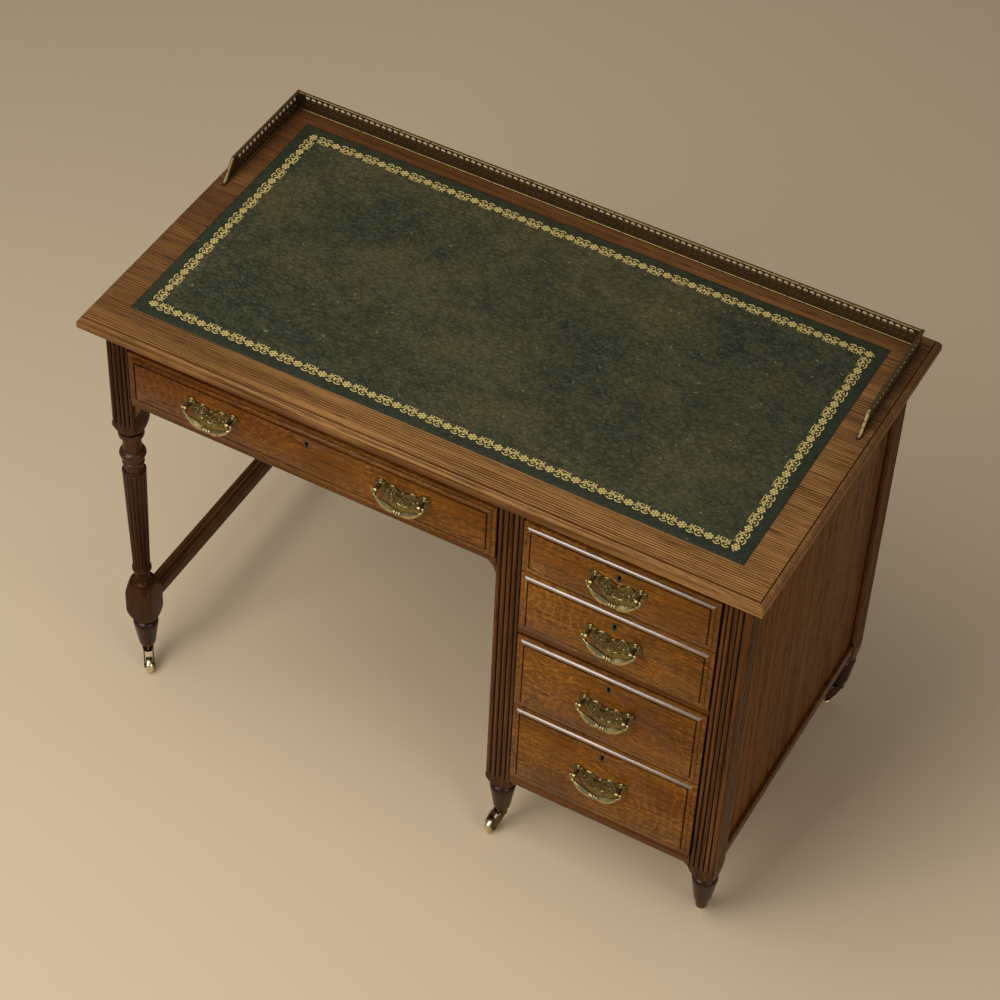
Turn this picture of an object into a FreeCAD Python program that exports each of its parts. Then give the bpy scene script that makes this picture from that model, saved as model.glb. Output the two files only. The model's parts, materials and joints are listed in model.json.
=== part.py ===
import FreeCAD, Part
import math
import os

from FreeCAD import Vector

# Single-pedestal oak writing desk, millimetres.
# X runs along the desk, Y from front to back, Z up; the origin is on the floor under the middle of the top.

# Top board and its moulded edge
TOP_WIDTH = 1067.0
TOP_DEPTH = 590.0
TOP_HEIGHT = 758.0
TOP_THICKNESS = 24.0
EDGE_INSET = 8.6
EDGE_FILLET = 2.2
EDGE_QUIRK = 1.3
EDGE_DROP = 10.2
EDGE_LEDGE = 1.2
EDGE_ROUND = 1.5
EDGE_FASCIA = 10.0
EDGE_STRIP_SETBACK = 4.0

# Leather writing panel
LEATHER_SIDE_MARGIN = 54.5
LEATHER_FRONT_MARGIN = 55.0
LEATHER_BACK_MARGIN = 59.0
LEATHER_THICKNESS = 1.4
LEATHER_SINK = 0.2
LEATHER_FIT = 0.2

# Pierced brass gallery
GALLERY_SIDE_INSET = 22.5
GALLERY_BACK_INSET = 33.0
GALLERY_HEIGHT = 32.5
GALLERY_THICKNESS = 1.6
GALLERY_RAIL_WIDTH = 5.0
GALLERY_RAIL_THICKNESS = 2.4
GALLERY_RETURN = 215.0
GALLERY_SWEEP = 32.0
GALLERY_PITCH = 10.2
GALLERY_HOLE_RADIUS = 3.3
GALLERY_PETAL_RADIUS = 2.1
GALLERY_PETAL_RISE = 8.5
GALLERY_HOLE_RISE = 19.5

# Legs, posts and their reeds
POST = 41.0
SIDE_OVERHANG = 24.5
FRONT_OVERHANG = 27.5
BACK_OVERHANG = 31.5
PEDESTAL_WIDTH = 379.0
REED_COUNT = 5
REED_RISE = 2.6
LATHE_ROOM = 1.0

# Turned toe of the legs and posts
POST_SQUARE_DROP = 2.0
POMMEL_END_RADIUS = 15.0
TOE_POMMEL = 30.0
TOE_POMMEL_ROUND = 3.0
TOE_RIM_HEIGHT = 9.0
TOE_RIM_ROUND = 1.6
TOE_TOP_RADIUS = 19.8
TOE_END_RADIUS = 13.4
TOE_GROOVE = 1.5
TOE_CHAMFER = 1.2

# Turned left legs
LEG_BLOCK_DROP = 52.5
LEG_POMMEL = 23.5
LEG_POMMEL_ROUND = 2.0
LEG_RING_RADIUS = 19.8
LEG_RING_HEIGHT = 10.5
LEG_FLARE = 6.0
LEG_FLARE_CURVE = 1.2
LEG_NECK_RADIUS = 14.3
LEG_NECK_HEIGHT = 21.7
LEG_TORUS_RADIUS = 20.4
LEG_TORUS_HEIGHT = 15.5
LEG_WAIST_HEIGHT = 7.5
LEG_BEAD_RADIUS = 17.0
LEG_BEAD_HEIGHT = 5.5
LEG_COVE_RADIUS = 15.2
LEG_COVE_HEIGHT = 12.7
LEG_COVE_CURVE = 1.3
LEG_STEP = 2.6
LEG_SHOULDER_HEIGHT = 5.0
SHAFT_TOP_RADIUS = 18.3
SHAFT_BOTTOM_RADIUS = 13.3
SHAFT_REEDS = 16
SHAFT_REED_RISE = 1.5
LEG_LOW_RING_RADIUS = 15.3
LEG_LOW_RING_HEIGHT = 13.0
LEG_LOW_NECK_RADIUS = 10.6
LEG_LOW_NECK_HEIGHT = 17.0
LEG_LOW_SHOULDER = 7.0
LEG_LOW_SHOULDER_CURVE = 2.6
STRETCHER_BLOCK_Z = 146.0
STRETCHER_BLOCK_HEIGHT = 24.0
STRETCHER_POMMEL = 32.0
STRETCHER_POMMEL_STEPS = 6

# Stretcher between the left legs
STRETCHER_WIDTH = 24.0
STRETCHER_HEIGHT = 22.0
STRETCHER_REEDS = 3
STRETCHER_REED_RISE = 2.2

# Panels and rails
PANEL_RECESS = 8.0
PANEL_THICKNESS = 12.0
END_RECESS = 4.0
END_THICKNESS = 20.0
RAIL_SEAT = 0.3
KNEEHOLE_RAIL_SHOW = 10.0
MIDDLE_RAIL_SHOW = 11.0
BOTTOM_RAIL_SHOW = 20.0
PEDESTAL_FOOT = 136.5
BOTTOM_BOARD_THICKNESS = 14.0
SIDE_RAIL_RECESS = 2.0
SIDE_RAIL_THICKNESS = 22.0
RUNNER_BEARING = 15.0
BRACKET_THICKNESS = 16.0
BRACKET_SETBACK = 4.0
KNEEHOLE_BRACKET_WIDTH = 26.0
KNEEHOLE_BRACKET_HEIGHT = 30.0
PEDESTAL_BRACKET_WIDTH = 40.0
PEDESTAL_BRACKET_HEIGHT = 15.0
BRACKET_HOLLOW = 6.0

# Drawers
FRONTS_DROP = 32.0
FRIEZE_DRAWER_HEIGHT = 96.0
FIRST_DRAWER_HEIGHT = 96.0
SECOND_DRAWER_HEIGHT = 117.5
THIRD_DRAWER_HEIGHT = 148.5
FRONT_GAP = 2.0
SIDE_GAP = 1.0
FRONT_PROUD = 7.0
FRONT_EDGE_PROUD = 2.5
FRONT_LIP_BACK = 4.0
FRONT_BACK = 16.0
FRONT_LIP = 8.0
FRONT_MARGIN = 6.0
BEAD_WIDTH = 5.2
BEAD_ROUND = 1.4
BEAD_SINK = 0.8
QUIRK_WIDTH = 2.6
QUIRK_DEPTH = 2.8
DRAWER_SIDE = 10.0
DRAWER_BACK = 9.0
DRAWER_BOTTOM = 6.0
DRAWER_BOTTOM_RISE = 4.0
DRAWER_BACK_DROP = 6.0
DRAWER_REAR_ROOM = 14.0
DRAWER_HEAD_ROOM = 1.5
DRAWER_RUN = 0.3

# Locks and keyholes
KEY_DROP = 28.0
LINING_RADIUS = 4.2
LINING_STRAIGHT = 7.0
LINING_DEPTH = 4.0
KEYHOLE_RADIUS = 2.6
KEYHOLE_SLOT = 1.4
KEYHOLE_DROP = 7.0
LOCK_WIDTH = 44.0
LOCK_THICKNESS = 9.0
LOCK_BELOW_KEY = 16.0
BOLT_WIDTH = 16.0
BOLT_THICKNESS = 3.4
BOLT_HEIGHT = 14.0
BOLT_TRAVEL = 7.0
BOLT_FIT = 0.2
BOLT_POCKET_ROOM = 1.0

# Drop handles
HANDLE_RISE = 3.0
HANDLE_HALF_SPACING = 155.0
PIVOT_RISE = 6.0
PIVOT_HALF_SPAN = 34.5
PLATE_THICKNESS = 2.0
PLATE_BOTTOM = 30.5
PLATE_BOTTOM_ROUND = 7.5
PLATE_SHOULDER_DROP = 7.0
PLATE_SHOULDER_INSET = 1.5
PLATE_HUMP_HALF = 15.5
PLATE_HUMP_WIDTH = 14.0
PLATE_HUMP_RISE = 9.5
PLATE_HUMP_ROUND = 2.5
PLATE_NOTCH_RISE = 5.0
ROSETTE_RADIUS = 9.0
ROSETTE_RIM = 1.6
ROSETTE_DOME = 4.0
STEM_RADIUS = 2.4
EYE_RADIUS = 4.2
EYE_HALF_WIDTH = 2.5
BAIL_STANDOFF = 13.0
BAIL_PIN_RADIUS = 1.9
BAIL_PIN_FIT = 0.06
BAIL_RADIUS = 2.4
BAIL_EYE_GAP = 0.4
BAIL_DROP = 27.5
BAIL_CORNER_RADIUS = 16.0
BAIL_KNUCKLE_RADIUS = 2.6
KNOP_RINGS = 3
KNOP_HALF_LENGTH = 6.0
KNOP_RADIUS = 4.3
KNOP_RING_RADIUS = 3.6

# Castors
CASTOR_HEIGHT = 50.0
CASTOR_PLATE_RADIUS = 12.5
CASTOR_PLATE_THICKNESS = 2.5
CASTOR_TRAIL = 20.0
CASTOR_CLEARANCE = 0.3
HUB_RADIUS = 9.0
HUB_HEIGHT = 17.0
PINTLE_RADIUS = 3.0
PINTLE_FIT = 0.06
PINTLE_HEAD_RADIUS = 4.8
PINTLE_HEAD_THICKNESS = 1.5
WHEEL_RADIUS = 13.0
WHEEL_WIDTH = 11.0
WHEEL_CROWN = 1.6
WHEEL_GAP = 0.5
ARM_THICKNESS = 2.2
ARM_RISE = 9.0
ARM_END_RADIUS = 5.0
ARM_BOW = 4.0
AXLE_RADIUS = 2.2
AXLE_SEAT = 0.02
AXLE_FIT = 0.06
AXLE_OVERHANG = 0.6

# Trail of each castor, degrees from +X
LEFT_FRONT_TRAIL = -52.0
LEFT_BACK_TRAIL = 30.0
INNER_FRONT_TRAIL = -109.0
INNER_BACK_TRAIL = -95.0
OUTER_FRONT_TRAIL = 113.0
OUTER_BACK_TRAIL = -130.0

# Places that follow from the sizes
UNDERSIDE = TOP_HEIGHT - TOP_THICKNESS
LEFT = SIDE_OVERHANG - TOP_WIDTH / 2
RIGHT = TOP_WIDTH / 2 - SIDE_OVERHANG
INNER = RIGHT - PEDESTAL_WIDTH
FRONT = FRONT_OVERHANG - TOP_DEPTH / 2
BACK = TOP_DEPTH / 2 - BACK_OVERHANG
FRONT_POST_BACK = FRONT + POST
BACK_POST_FRONT = BACK - POST
FIELD = FRONT - FRONT_PROUD
RAIL_FRONT = FRONT + FRONT_LIP_BACK + RAIL_SEAT
FRONTS_TOP = UNDERSIDE - FRONTS_DROP
FRIEZE_BOTTOM = FRONTS_TOP - FRIEZE_DRAWER_HEIGHT
KNEEHOLE_TOP = FRIEZE_BOTTOM - FRONT_GAP - KNEEHOLE_RAIL_SHOW
SECOND_TOP = FRONTS_TOP - FIRST_DRAWER_HEIGHT - FRONT_GAP
THIRD_TOP = SECOND_TOP - SECOND_DRAWER_HEIGHT - MIDDLE_RAIL_SHOW - 2 * FRONT_GAP
FOURTH_TOP = THIRD_TOP - THIRD_DRAWER_HEIGHT - FRONT_GAP
BOTTOM_RAIL_TOP = PEDESTAL_FOOT + BOTTOM_RAIL_SHOW
FOURTH_DRAWER_HEIGHT = FOURTH_TOP - FRONT_GAP - BOTTOM_RAIL_TOP
LATHE_RADIUS = POST / math.sqrt(2) + LATHE_ROOM
PLATE_SHOULDER_HALF = PIVOT_HALF_SPAN - PLATE_SHOULDER_INSET
BAIL_HALF_SPAN = PIVOT_HALF_SPAN + EYE_HALF_WIDTH + BAIL_EYE_GAP + BAIL_KNUCKLE_RADIUS
BAIL_Y = FIELD - PLATE_THICKNESS - BAIL_STANDOFF
TINY = 1e-6

AXES = {"x": Vector(1, 0, 0), "y": Vector(0, 1, 0), "z": Vector(0, 0, 1)}


# Shared shapes

def box(x0, x1, y0, y1, z0, z1):
    return Part.makeBox(x1 - x0, y1 - y0, z1 - z0, Vector(x0, y0, z0))


def arc_step(start, end, rise):
    """Arc to end that bulges by rise to the right of the way from start."""
    run_a = end[0] - start[0]
    run_b = end[1] - start[1]
    length = math.hypot(run_a, run_b)
    middle_a = (start[0] + end[0]) / 2 + rise * run_b / length
    middle_b = (start[1] + end[1]) / 2 - rise * run_a / length
    return (middle_a, middle_b, end[0], end[1])


def outline(steps, place):
    """Closed outline: a pair is a straight step, four numbers are an arc's middle and end."""
    at = place(*steps[0][-2:])
    edges = []
    for step in steps[1:] + steps[:1]:
        end = place(*step[-2:])
        if end.distanceToPoint(at) < TINY:
            continue
        if len(step) == 4:
            edges.append(Part.Arc(at, place(*step[:2]), end).toShape())
        else:
            edges.append(Part.makeLine(at, end))
        at = end
    return Part.Wire(edges)


def symmetric(half):
    """Whole outline from its right half, listed from the bottom up."""
    left = []
    for index in reversed(range(len(half))):
        a, b = half[index][-2:]
        following = half[index + 1] if index + 1 < len(half) else ()
        if len(following) == 4:
            left.append((-following[0], following[1], -a, b))
        else:
            left.append((-a, b))
    return half + left


def swapped(steps):
    return [step[1::-1] if len(step) == 2 else step[1::-1] + step[:1:-1] for step in steps]


def place_on(axis, at):
    def place(a, b):
        if axis == "x":
            return Vector(at, a, b)
        if axis == "y":
            return Vector(a, at, b)
        return Vector(a, b, at)
    return place


def prism(steps, axis, low, high, holes=()):
    """Outline, less round holes of centre and radius, drawn out along an axis."""
    place = place_on(axis, low)
    wires = [outline(steps, place)]
    for a, b, radius in holes:
        wires.append(Part.Wire(Part.makeCircle(radius, place(a, b), AXES[axis])))
    face = Part.makeFace(wires, "Part::FaceMakerBullseye")
    return face.extrude(AXES[axis] * (high - low))


def revolve(steps, origin, axis, radial):
    """Half section of radius and height, turned about an axis."""
    def place(radius, height):
        return origin + radial * radius + axis * height
    return Part.Face(outline(steps, place)).revolve(origin, axis, 360)


def turned(steps, x, y):
    return revolve(steps, Vector(x, y, 0), AXES["z"], AXES["x"])


def group(shapes):
    return Part.makeCompound(shapes)


# Top

def edge_half(half):
    lip = TOP_HEIGHT - EDGE_DROP
    fascia = lip - EDGE_FASCIA
    ledge = (half - EDGE_LEDGE, lip)
    spring = (half - EDGE_INSET + EDGE_QUIRK, TOP_HEIGHT - EDGE_FILLET)
    quirk_floor = TOP_HEIGHT - EDGE_FILLET - EDGE_QUIRK
    return [
        (half - EDGE_STRIP_SETBACK, UNDERSIDE),
        (half - EDGE_STRIP_SETBACK, fascia),
        (half, fascia),
        (half, lip),
        ledge,
        arc_step(ledge, spring, EDGE_ROUND),
        (half - EDGE_INSET + EDGE_QUIRK, quirk_floor),
        (half - EDGE_INSET, quirk_floor),
        (half - EDGE_INSET, TOP_HEIGHT),
    ]


def leather_area(gap, low, high):
    return box(
        LEATHER_SIDE_MARGIN - TOP_WIDTH / 2 + gap,
        TOP_WIDTH / 2 - LEATHER_SIDE_MARGIN - gap,
        LEATHER_FRONT_MARGIN - TOP_DEPTH / 2 + gap,
        TOP_DEPTH / 2 - LEATHER_BACK_MARGIN - gap,
        low, high)


LEATHER_BED = TOP_HEIGHT - LEATHER_SINK - LEATHER_THICKNESS


def top_board():
    along = prism(symmetric(edge_half(TOP_DEPTH / 2)), "x", -TOP_WIDTH / 2, TOP_WIDTH / 2)
    across = prism(symmetric(edge_half(TOP_WIDTH / 2)), "y", -TOP_DEPTH / 2, TOP_DEPTH / 2)
    return along.common(across).cut(leather_area(0, LEATHER_BED, TOP_HEIGHT))


def leather_panel():
    return leather_area(LEATHER_FIT, LEATHER_BED, LEATHER_BED + LEATHER_THICKNESS)


def gallery_holes(low, high):
    """A row of round holes over a row of smaller ones set half a pitch along."""
    count = int((high - low - GALLERY_PITCH) / GALLERY_PITCH)
    first = (low + high - (count - 1) * GALLERY_PITCH) / 2
    holes = []
    for index in range(count):
        at = first + index * GALLERY_PITCH
        holes.append((at, TOP_HEIGHT + GALLERY_HOLE_RISE, GALLERY_HOLE_RADIUS))
        if index + 1 < count:
            holes.append((at + GALLERY_PITCH / 2, TOP_HEIGHT + GALLERY_PETAL_RISE, GALLERY_PETAL_RADIUS))
    return holes


def gallery_rail(at, low, high, axis, z):
    half = GALLERY_RAIL_WIDTH / 2
    if axis == "x":
        return box(low, high, at - half, at + half, z, z + GALLERY_RAIL_THICKNESS)
    return box(at - half, at + half, low, high, z, z + GALLERY_RAIL_THICKNESS)


def gallery_back(y, half):
    top = TOP_HEIGHT + GALLERY_HEIGHT
    inner = half - GALLERY_RAIL_WIDTH / 2
    steps = [(-half, TOP_HEIGHT), (half, TOP_HEIGHT), (half, top), (-half, top)]
    holes = gallery_holes(-inner, inner)
    web = prism(steps, "y", y - GALLERY_THICKNESS / 2, y + GALLERY_THICKNESS / 2, holes)
    rails = [gallery_rail(y, -inner, inner, "x", z) for z in (TOP_HEIGHT, top - GALLERY_RAIL_THICKNESS)]
    return web.fuse(rails)


def sweep_steps(start, end, middle):
    """S-shaped run down from start to end through two arcs that meet in the middle."""
    run = middle[0] - start[0]
    drop = middle[1] - start[1]
    turn = 2 * math.atan2(abs(drop), abs(run))
    radius = abs(run) / math.sin(turn)
    rise = radius * (1 - math.cos(turn / 2))
    return [arc_step(start, middle, -rise), arc_step(middle, end, rise)]


def gallery_return(x, back):
    """Side strip: its front end sweeps down to the board."""
    top = TOP_HEIGHT + GALLERY_HEIGHT
    front = back - GALLERY_RETURN
    low = TOP_HEIGHT + GALLERY_RAIL_THICKNESS
    high_start = (front + GALLERY_SWEEP, top)
    high_end = (front, low)
    high_middle = (front + GALLERY_SWEEP / 2, (top + low) / 2)
    steps = [(back, TOP_HEIGHT), (back, top), high_start]
    steps += sweep_steps(high_start, high_end, high_middle)
    steps += [(front, TOP_HEIGHT)]
    holes = gallery_holes(front + GALLERY_SWEEP, back)
    web = prism(steps, "x", x - GALLERY_THICKNESS / 2, x + GALLERY_THICKNESS / 2, holes)
    drop = GALLERY_RAIL_THICKNESS
    under_start = (high_start[0], top - drop)
    under_end = (front, TOP_HEIGHT)
    under_middle = (high_middle[0], high_middle[1] - drop)
    under = sweep_steps(under_start, under_end, under_middle)
    rail_steps = [(back, top), high_start] + sweep_steps(high_start, high_end, high_middle) + [under_end]
    rail_steps += [(under[1][0], under[1][1], under_middle[0], under_middle[1])]
    rail_steps += [(under[0][0], under[0][1], under_start[0], under_start[1]), (back, top - drop)]
    top_rail = prism(rail_steps, "x", x - GALLERY_RAIL_WIDTH / 2, x + GALLERY_RAIL_WIDTH / 2)
    return web.fuse([top_rail, gallery_rail(x, front, back, "y", TOP_HEIGHT)])


def gallery():
    back = TOP_DEPTH / 2 - GALLERY_BACK_INSET
    side = TOP_WIDTH / 2 - GALLERY_SIDE_INSET
    inner = side - GALLERY_RAIL_WIDTH / 2
    end = back + GALLERY_RAIL_WIDTH / 2
    return group([gallery_back(back, inner), gallery_return(-side, end), gallery_return(side, end)])


# Legs and posts

def side_steps(start, end, reeded):
    if not reeded:
        return [end]
    steps = []
    at = start
    for index in range(1, REED_COUNT + 1):
        share = index / REED_COUNT
        following = (start[0] + share * (end[0] - start[0]), start[1] + share * (end[1] - start[1]))
        steps.append(arc_step(at, following, REED_RISE))
        at = following
    return steps


def post_faces(x0, y0, reeded, sink):
    """Left, right, front and back of a square post whose reeded faces are sunk."""
    left, right, front, back = (sink * (face in reeded) for face in ("left", "right", "front", "back"))
    return x0 + left, x0 + POST - right, y0 + front, y0 + POST - back


def reeded_prism(x0, y0, reeded, low, high):
    """Square post whose named faces carry reeds that crest on the square."""
    left, right, front, back = post_faces(x0, y0, reeded, REED_RISE)
    corners = [(left, front), (right, front), (right, back), (left, back)]
    steps = [corners[0]]
    for index, face in enumerate(("front", "right", "back", "left")):
        steps += side_steps(corners[index], corners[(index + 1) % len(corners)], face in reeded)
    steps[0] = steps.pop()
    return prism(steps, "z", low, high)


def ring_steps(z, height, radius):
    """Half-round ring from z downwards."""
    root = radius - TOE_GROOVE
    return [(root, z), (radius, z - height / 2, root, z - height)]


def toe_steps(z):
    """Cup of the toe from z down to the castor, rounded over at its rim and closed on the axis."""
    neck = (POMMEL_END_RADIUS, z)
    return [
        (0, z),
        neck,
        arc_step(neck, (TOE_TOP_RADIUS, z - TOE_RIM_HEIGHT), -TOE_RIM_ROUND),
        (TOE_END_RADIUS, CASTOR_HEIGHT + TOE_CHAMFER),
        (TOE_END_RADIUS - TOE_CHAMFER, CASTOR_HEIGHT),
        (0, CASTOR_HEIGHT),
    ]


def reeded_block(x0, y0, reeded, low, pommel, curve):
    """Square reeded block under the top; its reeds stop at a plain foot that is turned to a pommel."""
    foot = low - pommel
    steps = [(0, UNDERSIDE), (LATHE_RADIUS, UNDERSIDE), (LATHE_RADIUS, low)]
    steps += [arc_step(steps[-1], (POMMEL_END_RADIUS, foot), -curve), (0, foot)]
    turning = turned(steps, x0 + POST / 2, y0 + POST / 2)
    plain = box(*post_faces(x0, y0, reeded, REED_RISE / 2), foot, low)
    return turning.common(reeded_prism(x0, y0, reeded, low, UNDERSIDE).fuse(plain))


def pedestal_post(x0, y0, reeded):
    square = PEDESTAL_FOOT - POST_SQUARE_DROP
    block = reeded_block(x0, y0, reeded, square, TOE_POMMEL, TOE_POMMEL_ROUND)
    return block.fuse(turned(toe_steps(square - TOE_POMMEL), x0 + POST / 2, y0 + POST / 2))


def scalloped(radius, z):
    valley = radius - SHAFT_REED_RISE
    turn = 2 * math.pi / SHAFT_REEDS
    steps = []
    for index in range(SHAFT_REEDS):
        middle = (index - 0.5) * turn
        end = index * turn
        steps.append((radius * math.cos(middle), radius * math.sin(middle),
                      valley * math.cos(end), valley * math.sin(end)))
    return outline(steps, place_on("z", z))


def leg_head_steps(ring):
    """Turning from the foot of the square block down to the top of the shaft, closed on the axis."""
    flare = ring - LEG_RING_HEIGHT
    neck = flare - LEG_FLARE
    torus = neck - LEG_NECK_HEIGHT
    cove = torus - LEG_TORUS_HEIGHT
    bead = cove - LEG_WAIST_HEIGHT
    hollow = bead - LEG_BEAD_HEIGHT
    shoulder = hollow - LEG_COVE_HEIGHT
    shaft = shoulder - LEG_SHOULDER_HEIGHT
    steps = [(0, ring)] + ring_steps(ring, LEG_RING_HEIGHT, LEG_RING_RADIUS)
    steps += [arc_step(steps[-1][-2:], (LEG_NECK_RADIUS, neck), LEG_FLARE_CURVE)]
    steps += [(LEG_NECK_RADIUS, torus)]
    steps += [(LEG_TORUS_RADIUS, torus - LEG_TORUS_HEIGHT / 2, LEG_COVE_RADIUS, cove)]
    steps += [(LEG_COVE_RADIUS, bead)]
    steps += [(LEG_BEAD_RADIUS, (bead + hollow) / 2, LEG_COVE_RADIUS, hollow)]
    steps += [arc_step((LEG_COVE_RADIUS, hollow), (LEG_COVE_RADIUS, shoulder), LEG_COVE_CURVE)]
    groove = SHAFT_TOP_RADIUS - TOE_GROOVE
    steps += [(groove, shoulder), (groove, shoulder - LEG_STEP)]
    steps += [(SHAFT_TOP_RADIUS, shoulder - LEG_STEP), (SHAFT_TOP_RADIUS, shaft), (0, shaft)]
    return steps, shaft


def leg_foot_steps():
    """Turning from the foot of the shaft through the stretcher block down to the top of the toe."""
    block_top = STRETCHER_BLOCK_Z + STRETCHER_BLOCK_HEIGHT / 2
    block_bottom = STRETCHER_BLOCK_Z - STRETCHER_BLOCK_HEIGHT / 2
    pommel = block_top + STRETCHER_POMMEL
    neck = pommel + LEG_LOW_SHOULDER
    ring = neck + LEG_LOW_NECK_HEIGHT
    shaft = ring + LEG_LOW_RING_HEIGHT
    steps = [(0, shaft), (SHAFT_BOTTOM_RADIUS, shaft)]
    steps += [(LEG_LOW_RING_RADIUS, shaft - LEG_LOW_RING_HEIGHT / 2, SHAFT_BOTTOM_RADIUS, ring)]
    steps += [arc_step(steps[-1][-2:], (LEG_LOW_NECK_RADIUS, (ring + neck) / 2), LEG_COVE_CURVE)]
    steps += [(LEG_LOW_NECK_RADIUS, neck)]
    steps += [arc_step(steps[-1], (POST / 2, pommel), LEG_LOW_SHOULDER_CURVE)]
    rise = STRETCHER_POMMEL / STRETCHER_POMMEL_STEPS
    spread = LATHE_RADIUS - POST / 2
    radius = POST / 2
    for index in range(1, STRETCHER_POMMEL_STEPS + 1):
        z = pommel - index * rise
        steps += [(radius, z + rise / 2)]
        radius = POST / 2 + spread * math.sin(math.pi / 2 * index / STRETCHER_POMMEL_STEPS)
        steps += [(radius, z)]
    toe = block_bottom - TOE_POMMEL
    steps += [(LATHE_RADIUS, block_bottom)]
    steps += [arc_step(steps[-1], (POMMEL_END_RADIUS, toe), -TOE_POMMEL_ROUND), (0, toe)]
    return steps, shaft, toe


def left_leg(x0, y0, reeded):
    centre = Vector(x0 + POST / 2, y0 + POST / 2, 0)
    block = KNEEHOLE_TOP - LEG_BLOCK_DROP
    head_steps, shaft_top = leg_head_steps(block - LEG_POMMEL)
    foot_steps, shaft_bottom, toe = leg_foot_steps()
    square = box(x0, x0 + POST, y0, y0 + POST, toe, shaft_bottom)
    pieces = [reeded_block(x0, y0, reeded, block, LEG_POMMEL, LEG_POMMEL_ROUND)]
    pieces.append(turned(head_steps, centre.x, centre.y))
    pieces.append(turned(foot_steps, centre.x, centre.y).common(square))
    pieces.append(turned(toe_steps(toe), centre.x, centre.y))
    ends = [scalloped(SHAFT_BOTTOM_RADIUS, shaft_bottom), scalloped(SHAFT_TOP_RADIUS, shaft_top)]
    shaft = Part.makeLoft(ends, True, True)
    shaft.translate(centre)
    return shaft.fuse(pieces)


def leg_stretcher():
    half = STRETCHER_WIDTH / 2
    low = STRETCHER_BLOCK_Z - STRETCHER_HEIGHT / 2
    high = STRETCHER_BLOCK_Z + STRETCHER_HEIGHT / 2
    valley = high - STRETCHER_REED_RISE
    steps = [(-half, low), (half, low), (half, valley)]
    width = STRETCHER_WIDTH / STRETCHER_REEDS
    for index in range(STRETCHER_REEDS):
        start = (half - index * width, valley)
        steps.append(arc_step(start, (start[0] - width, valley), STRETCHER_REED_RISE))
    bar = prism(steps, "y", FRONT_POST_BACK, BACK_POST_FRONT)
    bar.translate(Vector(LEFT + POST / 2, 0, 0))
    return bar


# Carcase panels and rails

def opening_top(front_top):
    return front_top - FRONT_LIP + DRAWER_HEAD_ROOM


def opening_bottom(front_bottom):
    return front_bottom + FRONT_LIP - DRAWER_RUN


def left_end_panel():
    x = LEFT + END_RECESS
    return box(x, x + END_THICKNESS, FRONT_POST_BACK, BACK_POST_FRONT, KNEEHOLE_TOP, UNDERSIDE)


def frieze_back_panel():
    y = BACK - END_RECESS
    return box(LEFT + POST, INNER, y - END_THICKNESS, y, KNEEHOLE_TOP, UNDERSIDE)


def lipped_rail(x0, x1, low, show_top, top):
    """Front rail: a strip in line with the posts, and a seat behind the drawer's lip."""
    steps = [
        (FRONT, low),
        (FRONT_POST_BACK, low),
        (FRONT_POST_BACK, top),
        (RAIL_FRONT, top),
        (RAIL_FRONT, show_top),
        (FRONT, show_top),
    ]
    return prism(steps, "x", x0, x1)


def kneehole_rail():
    show_top = FRIEZE_BOTTOM - FRONT_GAP
    return lipped_rail(LEFT + POST, INNER, KNEEHOLE_TOP, show_top, opening_bottom(FRIEZE_BOTTOM))


def bolt_pocket(x, z):
    """Mortise for a lock bolt in the underside of the rail at z."""
    half = BOLT_WIDTH / 2 + BOLT_POCKET_ROOM
    y = FRONT + FRONT_BACK - LOCK_THICKNESS / 2
    deep = BOLT_THICKNESS / 2 + BOLT_POCKET_ROOM
    return box(x - half, x + half, y - deep, y + deep, z, z + BOLT_TRAVEL + BOLT_POCKET_ROOM)


PEDESTAL_MIDDLE = (INNER + RIGHT) / 2


def top_front_rails():
    low = opening_top(FRONTS_TOP)
    rails = []
    for x0, x1 in ((LEFT + POST, INNER), (INNER + POST, RIGHT - POST)):
        rail = box(x0, x1, RAIL_FRONT, FRONT_POST_BACK, low, UNDERSIDE)
        rails.append(rail.cut(bolt_pocket((x0 + x1) / 2, low)))
    return group(rails)


def bracket(x, z, width, height):
    """Hollow-curved bracket in the corner at x, z; a negative width reaches to the left."""
    reach = (x + width, z)
    foot = (x, z - height)
    turn = math.copysign(BRACKET_HOLLOW, width)
    steps = [(x, z), reach, arc_step(reach, foot, turn)]
    y = FRONT + BRACKET_SETBACK
    return prism(steps, "y", y, y + BRACKET_THICKNESS)


def corner_brackets():
    return group([
        bracket(LEFT + POST, KNEEHOLE_TOP, KNEEHOLE_BRACKET_WIDTH, KNEEHOLE_BRACKET_HEIGHT),
        bracket(INNER, KNEEHOLE_TOP, -KNEEHOLE_BRACKET_WIDTH, KNEEHOLE_BRACKET_HEIGHT),
        bracket(INNER + POST, PEDESTAL_FOOT, PEDESTAL_BRACKET_WIDTH, PEDESTAL_BRACKET_HEIGHT),
        bracket(RIGHT - POST, PEDESTAL_FOOT, -PEDESTAL_BRACKET_WIDTH, PEDESTAL_BRACKET_HEIGHT),
    ])


def side_panel(x0):
    return box(x0, x0 + PANEL_THICKNESS, FRONT_POST_BACK, BACK_POST_FRONT, BOTTOM_RAIL_TOP, UNDERSIDE)


PANEL_INNER_LEFT = INNER + PANEL_RECESS
PANEL_OUTER_LEFT = RIGHT - PANEL_RECESS - PANEL_THICKNESS
BAY_LEFT = PANEL_INNER_LEFT + PANEL_THICKNESS
BAY_RIGHT = PANEL_OUTER_LEFT
BOARD_TOP = opening_bottom(FOURTH_TOP - FOURTH_DRAWER_HEIGHT)


def pedestal_back_panel():
    y = BACK - PANEL_RECESS
    return box(INNER + POST, RIGHT - POST, y - PANEL_THICKNESS, y, BOTTOM_RAIL_TOP, UNDERSIDE)


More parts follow.
